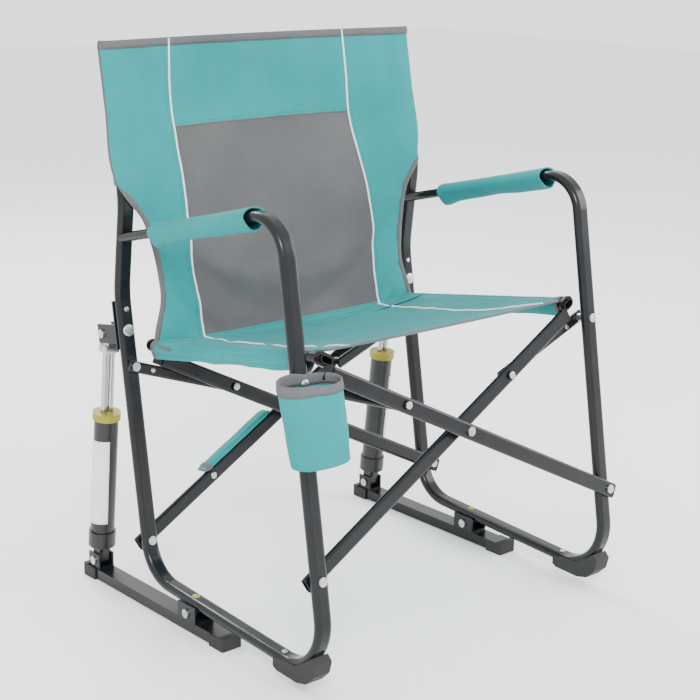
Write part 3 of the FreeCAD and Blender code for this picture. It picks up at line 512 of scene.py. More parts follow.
def make_studio():
    world = bpy.data.worlds.new("studio")
    world.use_nodes = True
    background = world.node_tree.nodes["Background"]
    background.inputs["Color"].default_value = WORLD_COLOUR
    background.inputs["Strength"].default_value = WORLD_STRENGTH
    scene.world = world
    for lamp in LAMPS:
        area_light(*lamp)
    ends = (-FLOOR_HALF, FLOOR_HALF)
    floor = grid_piece("floor", [[Vector((x, y, 0)) for x in ends] for y in ends])
    floor.data.materials.append(floor_material())


make_camera()
make_studio()
dress_frame()

# ---- cloth helpers ---------------------------------------------------------------------------------

def spline(table):
    """A smooth curve through (key, value) pairs, with the keys rising."""
    keys, values = np.array(table).T
    slopes = np.gradient(values, keys)

    def at(key):
        key = min(max(key, keys[0]), keys[-1])
        i = min(int(np.searchsorted(keys, key, side="right")) - 1, len(keys) - 2)
        step = keys[i + 1] - keys[i]
        t = (key - keys[i]) / step
        return float(values[i] * (1 + 2 * t) * (1 - t) ** 2 + slopes[i] * step * t * (1 - t) ** 2
                     + values[i + 1] * t * t * (3 - 2 * t) + slopes[i + 1] * step * t * t * (t - 1))

    return at


def ease(value, low, high):
    """0 below low, 1 above high, smooth between."""
    t = min(max((value - low) / (high - low), 0), 1)
    return t * t * (3 - 2 * t)


def wrinkle(point, size, stretch=(1, 1, 1), seed=0.0):
    """Smooth noise from -1 to 1 with folds about size long, drawn out by stretch."""
    spot = Vector((point[0] / stretch[0], point[1] / stretch[1], point[2] / stretch[2])) / size
    return noise.noise(spot + Vector((seed, seed * 0.7, -seed)))


def simulate(piece, pinned, growth, frames=16, cap=0.014, gravity=0.4, pressure=0.0, bending=0.3):
    """Let a cloth grid settle between its pinned points, then keep the shape with each move capped."""
    start = [vertex.co.copy() for vertex in piece.data.vertices]
    group = piece.vertex_groups.new(name="pinned")
    group.add(pinned, 1.0, "REPLACE")
    cloth = piece.modifiers.new("Cloth", "CLOTH")
    settings = cloth.settings
    settings.quality = 6
    settings.mass = 0.2
    settings.tension_stiffness = settings.compression_stiffness = 25
    settings.shear_stiffness = 12
    settings.bending_stiffness = bending
    settings.air_damping = 4
    settings.vertex_group_mass = group.name
    settings.shrink_min = -growth
    settings.use_pressure = pressure > 0
    settings.uniform_pressure_force = pressure
    settings.effector_weights.gravity = gravity
    cloth.collision_settings.use_collision = False
    cloth.point_cache.frame_start, cloth.point_cache.frame_end = 1, frames
    for frame_number in range(1, frames + 1):
        scene.frame_set(frame_number)
    bake_modifiers(piece)
    for vertex, place in zip(piece.data.vertices, start):
        move = vertex.co - place
        if move.length > cap:
            vertex.co = place + move * (cap / move.length)
    scene.frame_set(1)


def subdivide(piece, levels=1):
    modifier = piece.modifiers.new("Subdivision", "SUBSURF")
    modifier.levels = modifier.render_levels = levels
    bake_modifiers(piece)


def crease(piece, height):
    """Push each point of a piece along its normal by height(point)."""
    normals = [vertex.normal.copy() for vertex in piece.data.vertices]
    for vertex, normal in zip(piece.data.vertices, normals):
        vertex.co += normal * height(vertex.co)
    piece.data.update()


def surface_of(piece):
    bpy.context.view_layer.update()
    return BVHTree.FromObject(piece, bpy.context.evaluated_depsgraph_get())


def lay_on(tree, points, facing, lift):
    """The nearest places on a surface, lifted off it on the side that facing points to, and its normals."""
    places, normals = [], []
    for point in points:
        place, normal, _, _ = tree.find_nearest(point)
        if normal.dot(facing) < 0:
            normal = -normal
        places.append(place + normal * lift)
        normals.append(normal)
    return places, normals


def seam_cord(name, tree, points, facing, radius, dip=0.0):
    """Piping along a seam, half sunk in the cloth; dip lets it sink between the folds now and then."""
    places, normals = lay_on(tree, smoothed(evenly(points, 0.006)), facing, radius * 0.55)
    for i, normal in enumerate(normals):
        places[i] = places[i] + normal * (dip * min(0, math.sin(i * 0.31 + 0.4) + 0.5 * math.sin(i * 0.83)))
    heading = tangents(places)
    sides = [along.cross(normal).normalized() for along, normal in zip(heading, normals)]
    return sweep_piece(name, places, sides, normals, round_outline(radius, radius, 10))


STITCH, STITCH_GAP = 0.0032, 0.0022
DASH_PROFILE, DASH_SIDES = ((0.0, 0.35), (0.15, 1.0), (0.85, 1.0), (1.0, 0.35)), 6


def edge_tape(name, tree, points, inward, facing, width, thickness=0.0032, step=0.006):
    """Binding folded over an edge. inward points lie inside the edge, one beside each edge point."""
    count = max(2, round(sum((b - a).length for a, b in zip(points, points[1:])) / step))
    pick = np.linspace(0, len(points) - 1, count + 1)

    def between(items, spot):
        first = min(int(spot), len(items) - 2)
        return items[first].lerp(items[first + 1], spot - first)

    edge = [between(points, spot) for spot in pick]
    inner = [between(inward, spot) for spot in pick]
    _, normals = lay_on(tree, edge, facing, 0.0)
    heading = tangents(edge)
    sides = []
    for place, inside, along in zip(edge, inner, heading):
        out = place - inside
        sides.append((out - along * out.dot(along)).normalized())
    normals = [along.cross(side) for side, along in zip(sides, heading)]
    normals = [normal if normal.dot(facing) > 0 else -normal for normal in normals]
    return sweep_piece(name, edge, sides, normals, tape_outline(width, thickness))


def dashes(name, places, normals, length=STITCH, radius=0.0005, lift=0.0004, capped=False):
    """One mesh of small rounded dashes, each from a place towards the next and facing along its normal."""
    vertices, faces = [], []
    for first, second, normal in zip(places, places[1:], normals):
        along = (second - first).normalized()
        side = along.cross(normal).normalized()
        start = len(vertices)
        for share, size in DASH_PROFILE:
            spot = first + along * (length * share) + normal * lift
            vertices += [spot + side * (a * size) + normal * (b * size)
                         for a, b in round_outline(radius, radius, DASH_SIDES)]
        for ring in range(len(DASH_PROFILE) - 1):
            for k in range(DASH_SIDES):
                a, b = (start + ring * DASH_SIDES + turn % DASH_SIDES for turn in (k, k + 1))
                faces.append((a, b, b + DASH_SIDES, a + DASH_SIDES))
        if capped:
            last = start + (len(DASH_PROFILE) - 1) * DASH_SIDES
            faces += [tuple(start + k for k in reversed(range(DASH_SIDES))),
                      tuple(last + k for k in range(DASH_SIDES))]
    mesh = bpy.data.meshes.new(name)
    mesh.from_pydata(vertices, [], faces)
    mesh.polygons.foreach_set("use_smooth", [capped] * len(mesh.polygons))
    return link(name, mesh)


def stitch_piece(name, tree, points, facing, lift=0.0004):
    """A row of raised stitches along a line on the cloth."""
    places, normals = lay_on(tree, evenly(smoothed(points), STITCH + STITCH_GAP), facing, lift)
    return dashes(name, places, normals, radius=0.00055, lift=0.0, capped=True)


def stitches_round(name, places, centre, axis):
    """Stitches round a tube of cloth, each facing away from the tube's middle, square to its axis."""
    normals = []
    for place in places:
        away = place - centre
        normals.append((away - axis * away.dot(axis)).normalized())
    return dashes(name, places, normals)


def finish_back(piece, material):
    """A piece of the backrest: it rides on the right frame's body, with a mesh of its own."""
    finish_piece(piece, "side_right", material)
    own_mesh(piece)


def finish_seat(piece, material):
    """A piece of the seat: it hangs between the two crossed frames; it gets its material and has its transform baked
    into its mesh.
    """
    dress(piece, material)
    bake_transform(piece)


# ---- backrest --------------------------------------------------------------------------------------

BACK_TOP, WAIST = 0.8765, 0.648
MESH_TOP, MESH_BOTTOM, BACK_BOTTOM = 0.741, 0.420, 0.402
SLEEVE_GAP = 0.0022
LOWER_SLOPE = 0.11
SLEEVE_HALF_DEPTH = 0.0100
SAG_INSET = 0.0150
TURN_REACH = 0.044
ABOVE_SEAT = 0.0012
back_half = spline([(0.400, 0.276), (0.440, 0.266), (0.484, 0.2525), (0.528, 0.2545), (0.570, 0.262),
                    (0.615, 0.277), (0.650, 0.304), (0.676, 0.3125), (0.780, 0.3130), (BACK_TOP, 0.3125)])
piping_half = spline([(0.400, 0.1845), (0.455, 0.184), (0.525, 0.188), (0.610, 0.1885), (0.660, 0.184),
                      (0.742, 0.180), (0.802, 0.181), (BACK_TOP, 0.177)])
back_sag = spline([(0.400, 0.0), (0.545, -0.006), (0.620, 0.002), (0.700, 0.026), (0.780, 0.030),
                   (BACK_TOP, 0.019)])
piping_shift = spline([(0.400, 0.002), (0.600, 0.0), (0.700, -0.004), (0.780, -0.006), (BACK_TOP, -0.009)])


def back_face(height):
    """The y of the backrest's front at its sides."""
    if height >= WAIST:
        return back_tube_faces(height)[0] - SLEEVE_GAP
    return back_tube_faces(WAIST)[0] - SLEEVE_GAP - LOWER_SLOPE * (WAIST - height)


def back_point(x, half, height):
    """A point of the backrest: flat between the tubes but for its sag, and rolled round them at its edges."""
    reach = min(half, SPAN - SAG_INSET)
    y = back_face(height) + back_sag(height) * (1 - min(abs(x) / reach, 1) ** 2)
    rolled = ease(height, 0.648, 0.672)
    over = abs(x) - (half - SLEEVE_HALF_DEPTH)
    if over > 0 and rolled > 0:
        drop = SLEEVE_HALF_DEPTH - math.sqrt(max(SLEEVE_HALF_DEPTH ** 2 - over ** 2, 0))
        y += drop * rolled
    return Vector((MIDDLE + x, y, height))


CENTRE_COLUMNS = 20
OUTER_SHARES = [0.10, 0.19, 0.28, 0.37, 0.46, 0.55, 0.64, 0.72, 0.80, 0.87, 0.92, 0.955, 0.98, 1.0]


def back_columns(height):
    """The x of every column of the backrest at a height, from the right edge to the left."""
    half, shift = back_half(height), piping_shift(height)
    right, left = -piping_half(height) + shift, piping_half(height) + shift
    outer_right = [right + (-half - right) * share for share in reversed(OUTER_SHARES)]
    middle = [right + (left - right) * i / (2 * CENTRE_COLUMNS) for i in range(2 * CENTRE_COLUMNS + 1)]
    outer_left = [left + (half - left) * share for share in OUTER_SHARES]
    return outer_right + middle + outer_left


RIGHT_SEAM = len(OUTER_SHARES)
LEFT_SEAM = RIGHT_SEAM + 2 * CENTRE_COLUMNS


def back_heights():
    """Row heights from the top down, with one row on each seam of the mesh panel."""
    above = list(np.linspace(BACK_TOP, MESH_TOP, 17))
    panel = list(np.linspace(MESH_TOP, MESH_BOTTOM, 41))
    below = list(np.linspace(MESH_BOTTOM, BACK_BOTTOM, 9))
    return above + panel[1:] + below[1:]


def paint_panel(piece, columns, is_mesh):
    """Give a grid its cloth, and the grey mesh where is_mesh(row, column) says so."""
    piece.data.materials.append(materials["teal_cloth"])
    piece.data.materials.append(materials["grey_mesh"])
    for polygon in piece.data.polygons:
        row, column = divmod(polygon.index, columns - 1)
        polygon.material_index = int(is_mesh(row, column))


def turn_onto_seat(point):
    """Below the mesh panel the back curves forwards and lies down on the seat."""
    if point.z >= MESH_BOTTOM:
        return point
    share = (MESH_BOTTOM - point.z) / (MESH_BOTTOM - BACK_BOTTOM)
    y = point.y - TURN_REACH * share ** 1.6
    x = point.x - MIDDLE
    depth = (Vector((point.x, y, point.z)) - FRONT_PLANE).dot(REAR)
    top = seat_point(x, min(depth, SEAT_REAR), SEAT_HALF)
    seat_z = top.z - (y - top.y) * REAR.z / REAR.y * -1 + ABOVE_SEAT
    return Vector((point.x, y, MESH_BOTTOM + (seat_z - MESH_BOTTOM) * share ** 0.8))


def make_backrest():
    heights = back_heights()
    rows = [[turn_onto_seat(back_point(x, back_half(height), height)) for x in back_columns(height)]
            for height in heights]
    width, last = len(rows[0]), len(rows) - 1
    panel = grid_piece("back_panel", rows)
    top_row = heights.index(MESH_TOP)
    bottom_row = heights.index(MESH_BOTTOM)
    paint_panel(panel, width, lambda r, c: top_row <= r < bottom_row and RIGHT_SEAM <= c < LEFT_SEAM)
    pinned = [r * width + c for r in range(last + 1) for c in range(width)
              if r in (0, last) or c < 3 or c >= width - 3
              or (heights[r] > WAIST and abs(rows[r][c].x - MIDDLE) > SPAN - 0.022)]
    simulate(panel, pinned, 0.006, cap=0.010, gravity=0.15)
    grid = [[panel.data.vertices[r * width + c].co.copy() for c in range(width)] for r in range(last + 1)]

    def fold_height(point):
        inside = 1 - ease(abs(point.x - MIDDLE), 0.265, 0.290) * ease(point.z, 0.62, 0.66)
        drag = wrinkle(point, 0.045, (1.0, 1.0, 2.2), 3.1) * 0.0013
        fine = wrinkle(point, 0.017, (1.5, 1.0, 1.0), 9.4) * 0.0005
        return (drag + fine) * inside

    subdivide(panel)
    crease(panel, fold_height)
    tree = surface_of(panel)
    forward = Vector((0, -1, 0))
    columns = {"right": [row[RIGHT_SEAM] for row in grid], "left": [row[LEFT_SEAM] for row in grid]}
    pieces = []
    for side, seam in columns.items():
        pieces.append((seam_cord(f"back_piping_{side}", tree, seam, forward, 0.0016), "white_piping"))
        outward = -0.0075 if side == "right" else 0.0075
        line = [point + Vector((outward, 0, 0)) for point in seam]
        pieces.append((stitch_piece(f"back_seam_stitches_{side}", tree, line, forward), "teal_thread"))
    edges = {"top": ([point for point in grid[0]], [point for point in grid[2]], 0.0115),
             "right": ([row[0] for row in grid], [row[3] for row in grid], 0.0080),
             "left": ([row[-1] for row in grid], [row[-4] for row in grid], 0.0080)}
    for name, (edge, inner, tape_width) in edges.items():
        tape = edge_tape(f"back_binding_{name}", tree, edge, inner, forward, tape_width)
        pieces.append((tape, "grey_binding"))
    top_line = [grid[0][c].lerp(grid[2][c], 0.62) for c in range(2, width - 2)]
    pieces.append((stitch_piece("back_top_stitches", tree, top_line, forward, 0.0016), "grey_binding"))
    mesh_line = [grid[top_row][c] for c in range(RIGHT_SEAM, LEFT_SEAM + 1)]
    cord = seam_cord("mesh_top_seam", tree, [point + Vector((0, 0, 0.001)) for point in mesh_line], forward, 0.0011)
    pieces.append((cord, "grey_binding"))
    yoke_line = [point + Vector((0, 0, 0.006)) for point in mesh_line]
    pieces.append((stitch_piece("yoke_stitches", tree, yoke_line, forward), "teal_thread"))
    low_line = [grid[bottom_row][c] - Vector((0, 0, 0.003)) for c in range(RIGHT_SEAM, LEFT_SEAM + 1)]
    pieces.append((stitch_piece("back_low_stitches", tree, low_line, forward), "teal_thread"))
    thicken(panel, 0.0012)
    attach(panel, "side_right")
    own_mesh(panel)
    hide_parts("back_cloth")
    for piece, material in pieces:
        finish_back(piece, material)


def make_back_sleeve(side):
    """The sleeve behind the backrest's edge, round one back tube."""
    name = SIDE_NAMES[side]
    rows = []
    count = 36
    for height in np.linspace(BACK_TOP - 0.003, 0.664, 40):
        front, rear = back_tube_faces(height)
        middle_y, half_deep = (front + rear) / 2, (rear - front) / 2 + 0.0020
        half_wide = 0.0135 + 0.0022
        flat = half_wide - half_deep
        ring = []
        for i in range(count):
            turn = 2 * math.pi * i / count
            x, y = math.cos(turn), math.sin(turn)
            out_x = x * half_deep + (flat if x > 0 else -flat)
            out_y = y * (half_deep if y > 0 else half_deep - 0.0022)
            tail = ease(-x, 0.45, 1.0)
            out_x -= tail * 0.016
            spot = Vector((MIDDLE + side * (SPAN + out_x), middle_y + out_y, height))
            behind = back_point(SPAN + out_x, back_half(height), height).y + 0.0030
            seam_y = behind + (0.0022 if y > 0 else 0.0)
            spot.y = spot.y * (1 - tail) + seam_y * tail
            spot.y = max(spot.y, behind)
            pull = wrinkle(spot, 0.022, (1, 1, 2.5), 5.0 + side) * 0.0011 * (1 if out_y > 0 else 0.3)
            spot.x += side * x * pull
            spot.y += max(y, 0) * pull
            ring.append(spot)
        rows.append(ring)
    sleeve = grid_piece(f"back_sleeve_{name}", rows, around=True)
    subdivide(sleeve)
    tree = surface_of(sleeve)
    line = [Vector((MIDDLE + side * (SPAN - 0.024), back_tube_faces(z)[1] + 0.006, z))
            for z in np.linspace(BACK_TOP - 0.008, 0.672, 40)]
    stitches = stitch_piece(f"sleeve_stitches_{name}", tree, line, Vector((0, 1, 0)))
    thicken(sleeve, 0.0010)
    body = f"side_{name}"
    finish_piece(sleeve, body, "teal_cloth")
    finish_piece(stitches, body, "teal_thread")


# ---- seat ------------------------------------------------------------------------------------------

RAIL_X, RAIL_H = rail_middle()
SEAT_FRONT, SEAT_REAR = 0.004, 0.384
SLEEVE_FRONT = 0.0215
SEAT_LIFT = 0.0022
seat_piping_half = spline([(SEAT_FRONT, 0.199), (0.06, 0.190), (0.17, 0.182), (0.30, 0.182), (SEAT_REAR, 0.1845)])
seat_sag = spline([(SEAT_FRONT, -0.002), (0.03, -0.006), (0.10, -0.017), (0.18, -0.022), (0.28, -0.021),
                   (SEAT_REAR, -0.013)])


def rail_section(side):
    """The rail's half width and half height across its own run."""
    name = SIDE_NAMES[side]
    points = [vertex.co - FRONT_PLANE for vertex in frame["nodes"][f"seat_rail_{name}"].data.vertices]
    across = [point.x for point in points]
    up = [point.dot(UP) for point in points]
    return (max(across) - min(across)) / 2, (max(up) - min(up)) / 2


RAIL_WIDE, RAIL_TALL = rail_section(LEFT)
SEAT_HALF = RAIL_X + RAIL_WIDE + SEAT_LIFT


def seat_point(x, y, half):
    """A point of the seat in the front plane's axes, sagging between the rails and rolled over them."""
    top = RAIL_H + RAIL_TALL + SEAT_LIFT
    inner = RAIL_X
    if abs(x) <= inner:
        rise = seat_sag(y) * (1 - (abs(x) / inner) ** 2.4)
        return in_plane(x, y, top + rise - 0.0015)
    over = (abs(x) - inner) / (half - inner)
    turn = over * math.pi / 2
    reach = RAIL_WIDE + SEAT_LIFT
    return in_plane(math.copysign(inner + math.sin(turn) * reach, x), y,
                    top - 0.0015 * (1 - over) - (1 - math.cos(turn)) * (RAIL_TALL + SEAT_LIFT))


SEAT_CENTRE = 22
SEAT_OUTER = [0.12, 0.24, 0.36, 0.48, 0.60, 0.72, 0.84]


def seat_columns(y, half, inner):
    seam = seat_piping_half(y)
    outer = [seam + (inner - seam) * share for share in SEAT_OUTER]
    roll = [inner + (half - inner) * share for share in (0.0, 0.25, 0.5, 0.75, 1.0)]
    middle = [seam * (i / SEAT_CENTRE - 1) for i in range(2 * SEAT_CENTRE + 1)]
    return [-x for x in reversed(outer + roll)] + middle + outer + roll


def make_seat():
    inner, half = RAIL_X, SEAT_HALF
    front_inner = 0.238
    rows = []
    for y in np.linspace(SEAT_FRONT, SEAT_REAR, 46):
        reach = ease(y, 0.010, SLEEVE_FRONT)
        row = []
        for x in seat_columns(y, half, inner):
            if abs(x) > front_inner and reach < 1:
                pulled = in_plane(x, max(y, SLEEVE_FRONT), 0)
                point = seat_point(x, y, half)
                row.append(point + REAR * (pulled - in_plane(x, y, 0)).dot(REAR))
            else:
                row.append(seat_point(x, y, half))
        rows.append(row)
    width, last = len(rows[0]), len(rows) - 1
    seam_right, seam_left = len(SEAT_OUTER) + 5, len(SEAT_OUTER) + 5 + 2 * SEAT_CENTRE
    panel = grid_piece("seat_panel", rows)
    dress(panel, "teal_cloth")
    pinned = [r * width + c for r in range(last + 1) for c in range(width)
              if r in (0, last) or c < 6 or c >= width - 6]
    simulate(panel, pinned, 0.008, cap=0.010, gravity=0.5)
    grid = [[panel.data.vertices[r * width + c].co.copy() for c in range(width)] for r in range(last + 1)]

    def fold_height(point):
        y = (point - FRONT_PLANE).dot(REAR)
        inside = 1 - ease(abs(point.x - MIDDLE), 0.235, 0.262)
        rear = ease(y, 0.20, 0.36)
        long_folds = wrinkle(point, 0.030, (4.0, 1.0, 1.0), 1.7) * (0.0010 + 0.0022 * rear)
        soft = wrinkle(point, 0.055, (1.6, 1.0, 1.0), 6.2) * 0.0014
        fine = wrinkle(point, 0.016, (1.4, 1.0, 1.0), 2.8) * 0.0004
        return (long_folds + soft + fine) * inside

    subdivide(panel)
    crease(panel, fold_height)
    tree = surface_of(panel)
    upward = Vector((0, 0, 1))
    pieces = []
    for side, column, outward in (("right", seam_right, -1), ("left", seam_left, 1)):
        seam = [row[column] + Vector((0.0016 * math.sin(k * 1.9) * (k > 4), 0, 0)) for k, row in enumerate(grid)]
        dip = 0.0016 if outward < 0 else 0.0006
        pieces.append((seam_cord(f"seat_piping_{side}", tree, seam, upward, 0.0017, dip), "white_piping"))
        line = [point + Vector((outward * 0.008, 0, 0)) for point in seam]
        pieces.append((stitch_piece(f"seat_seam_stitches_{side}", tree, line, upward), "teal_thread"))
        sleeve_line = [row[5 if outward < 0 else -6] - Vector((outward * 0.012, 0, 0)) for row in grid[3:]]
        pieces.append((stitch_piece(f"seat_sleeve_stitches_{side}", tree, sleeve_line, upward), "teal_thread"))
    front = edge_tape("seat_front_binding", tree, grid[0][4:-4], grid[1][4:-4], upward, 0.0062, 0.0036)
    pieces.append((front, "grey_binding"))
    front_line = [point + REAR * 0.012 for point in grid[0][6:-6]]
    pieces.append((stitch_piece("seat_front_stitches", tree, front_line, upward), "teal_thread"))
    thicken(panel, 0.0013)
    finish_seat(panel, "teal_cloth")
    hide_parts("seat_cloth")
    for piece, material in pieces:
        finish_seat(piece, material)


def make_seat_sleeve(side):
    """The seat's sleeve round one rail, with its doubled edge hanging below on the outer side."""
    name, body = SIDE_NAMES[side], "cross_a" if side == RIGHT else "cross_b"
    count, rows = 32, []
    for y in np.linspace(SLEEVE_FRONT, SEAT_REAR + 0.004, 58):
        ring = []
        hang = 0.0085 + 0.0018 * wrinkle(Vector((side * 0.3, y, 0)), 0.035, (1, 1, 1), 4.0)
        flare = 1 + 0.12 * (1 - ease(y, SLEEVE_FRONT, SLEEVE_FRONT + 0.02)) + 0.05 * ease(y, 0.365, SEAT_REAR)
        for i in range(count):
            turn = 2 * math.pi * i / count
            x, z = math.cos(turn), math.sin(turn)
            droop = ease(-z, 0.3, 1.0)
            out_x = x * (RAIL_WIDE + 0.0017) * flare + droop * 0.003
            out_z = z * (RAIL_TALL + 0.0012) * flare - droop * hang
            spot = in_plane(side * (RAIL_X + out_x), y, RAIL_H + out_z)
            pull = wrinkle(spot, 0.024, (1, 1.6, 1), 7.0 + side) * 0.0011 * (0.35 if z > 0.2 else 1)
            spot += (Vector((side, 0, 0)) * x + UP * z) * pull
            ring.append(spot)
        rows.append(ring)
    sleeve = grid_piece(f"seat_sleeve_{name}", rows, around=True)
    subdivide(sleeve)
    tree = surface_of(sleeve)
    outward = Vector((side, 0, 0))
    pieces = []
    low_line = [in_plane(side * (RAIL_X + RAIL_WIDE + 0.004), y, RAIL_H - RAIL_TALL - 0.0035)
                for y in np.linspace(SLEEVE_FRONT + 0.005, SEAT_REAR - 0.004, 60)]
    pieces.append((stitch_piece(f"sleeve_low_stitches_{name}", tree, low_line, outward), "teal_thread"))
    for k, (near, far) in enumerate(((0.300, 0.330), (0.205, 0.207))):
        box = [in_plane(side * (RAIL_X + RAIL_WIDE + 0.004), y, RAIL_H + z)
               for y, z in ((near, -0.010), (near, 0.006), (far, 0.006), (far, -0.010), (near, -0.010))]
        pieces.append((stitch_piece(f"sleeve_box_stitches_{name}_{k}", tree, evenly(box, 0.002), outward),
                       "teal_thread"))
    mouth = [*rows[0], rows[0][0]]
    behind = [*rows[3], rows[3][0]]
    tape = edge_tape(f"sleeve_mouth_binding_{name}", tree, mouth, behind, upward_at(side), 0.005, 0.0034, 0.003)
    pieces.append((tape, "grey_binding"))
    end, inside = [*rows[-1], rows[-1][0]], [*rows[-4], rows[-4][0]]
    tape = edge_tape(f"sleeve_rear_binding_{name}", tree, end, inside, upward_at(side), 0.008, 0.0036, 0.003)
    pieces.append((tape, "grey_binding"))
    thicken(sleeve, 0.0012)
    finish_piece(sleeve, body, "teal_cloth")
    for piece, material in pieces:
        finish_piece(piece, body, material)


def upward_at(side):
    return Vector((side * 0.3, 0, 1)).normalized()


# ---- arm covers, cup pocket and carry strap ----------------------------------------------------------

ARM_SLOPE = math.radians(14.2)
ARM_ALONG = Vector((0, math.cos(ARM_SLOPE), -math.sin(ARM_SLOPE)))
ARM_UP = Vector((0, math.sin(ARM_SLOPE), math.cos(ARM_SLOPE)))


def make_arm_cover(side):
    """A padded cloth sleeve on the arm: snug on top, gathered into a sewn flap underneath, open at both ends."""
    name = SIDE_NAMES[side]
    node = frame["nodes"][f"arm_cover_{name}"]
    reaches = [vertex.co.dot(ARM_ALONG) for vertex in node.data.vertices]
    centre = middle_of(f"arm_cover_{name}")
    start, end = min(reaches) - centre.dot(ARM_ALONG) - 0.002, max(reaches) - centre.dot(ARM_ALONG) + 0.001
    count, rows = 40, []
    for share in np.linspace(0, 1, 56):
        mouth = 1 - ease(share, 0.0, 0.16)
        tail = ease(share, 0.88, 1.0)
        wide = 0.0168 + 0.0022 * mouth + 0.001 * tail
        tall = 0.0108 + 0.0010 * mouth + 0.0010 * tail
        hang = 0.0058 + 0.0016 * mouth + 0.0026 * tail + 0.0012 * math.sin(share * 9.0)
        ring = []
        for i in range(count):
            turn = 2 * math.pi * i / count + math.pi / 2
            x, z = math.cos(turn), math.sin(turn)
            droop = ease(-z, 0.15, 1.0)
            out_x = x * wide * (1 - 0.35 * droop)
            out_z = z * tall - droop * hang
            lean = side * droop * 0.002
            spot = centre + ARM_ALONG * (start + (end - start) * share) + Vector((out_x + lean, 0, 0)) + ARM_UP * out_z
            pull = wrinkle(spot, 0.026, (1, 2.4, 1), 11.0 + side) * (0.0006 + 0.0014 * droop)
            pull += wrinkle(spot, 0.012, (1, 1.2, 1), 2.0 + side) * 0.0004
            spot += (Vector((1, 0, 0)) * x + ARM_UP * z) * pull
            ring.append(spot)
        rows.append(ring)
    cover = grid_piece(f"padded_arm_cover_{name}", rows, around=True)
    subdivide(cover)
    tree = surface_of(cover)
    pieces = []
    under = [centre + ARM_ALONG * (start + (end - start) * share) - ARM_UP * 0.03 + Vector((side * 0.004, 0, 0))
             for share in np.linspace(0.02, 0.98, 60)]
    flap = seam_cord(f"arm_flap_{name}", tree, under, -ARM_UP, 0.0018)
    pieces.append((flap, "teal_cloth"))
    for tag, share in (("front", 0.045), ("rear", 0.955)):
        line = []
        for i in range(count + 1):
            turn = 2 * math.pi * i / count
            line.append(centre + ARM_ALONG * (start + (end - start) * share)
                        + Vector((math.cos(turn) * 0.02, 0, 0)) + ARM_UP * (math.sin(turn) * 0.014))
        places = evenly([tree.find_nearest(point)[0] for point in line], STITCH + STITCH_GAP)
        pieces.append((stitches_round(f"arm_stitches_{name}_{tag}", places, centre, ARM_ALONG), "teal_thread"))
    thicken(cover, 0.0024, -1.0)
    body = f"side_{name}"
    finish_piece(cover, body, "teal_cloth")
    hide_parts(f"arm_cover_{name}")
    for piece, material in pieces:
        finish_piece(piece, body, material)


def node_end(node, lowest):
    """The middle of the points at a node's lowest or highest level."""
    points = [vertex.co for vertex in frame["nodes"][node].data.vertices]
    level = min(point.z for point in points) if lowest else max(point.z for point in points)
    ends = [point for point in points if abs(point.z - level) < 0.001]
    low = [min(point[axis] for point in ends) for axis in range(3)]
    high = [max(point[axis] for point in ends) for axis in range(3)]
    return (Vector(low) + Vector(high)) / 2


CUP_BASE_SHARE = 0.115
CUP_SHIFT = Vector((-0.007, 0.0105, 0.0048))


def make_cup_bolt():
    """The bolt that holds the cup's back wall to the post, in place of the plain stepped one."""
    node = "front_link_bolt_right"
    points = [vertex.co - FRONT_PLANE for vertex in frame["nodes"][node].data.vertices]
    x = sum(point.x for point in points) / len(points)
    z = sum(point.dot(UP) for point in points) / len(points)
    rear = max(point.dot(REAR) for point in points)
    hit = node_tree("arm_tube_right").ray_cast(in_plane(x, -0.10, z + 0.011), REAR)[0]
    front_y = (hit - FRONT_PLANE).dot(REAR)
    head = domed_head("cup_bolt_head", in_plane(x, front_y - 0.0042, z), -REAR, 0.0068, 0.0034, "side_right",
                      "zinc_bolt")
    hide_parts(node)
    domed_head("link_bolt_tail", in_plane(x, rear - 0.003, z), REAR, 0.0070, 0.003, "side_right", "zinc_bolt")


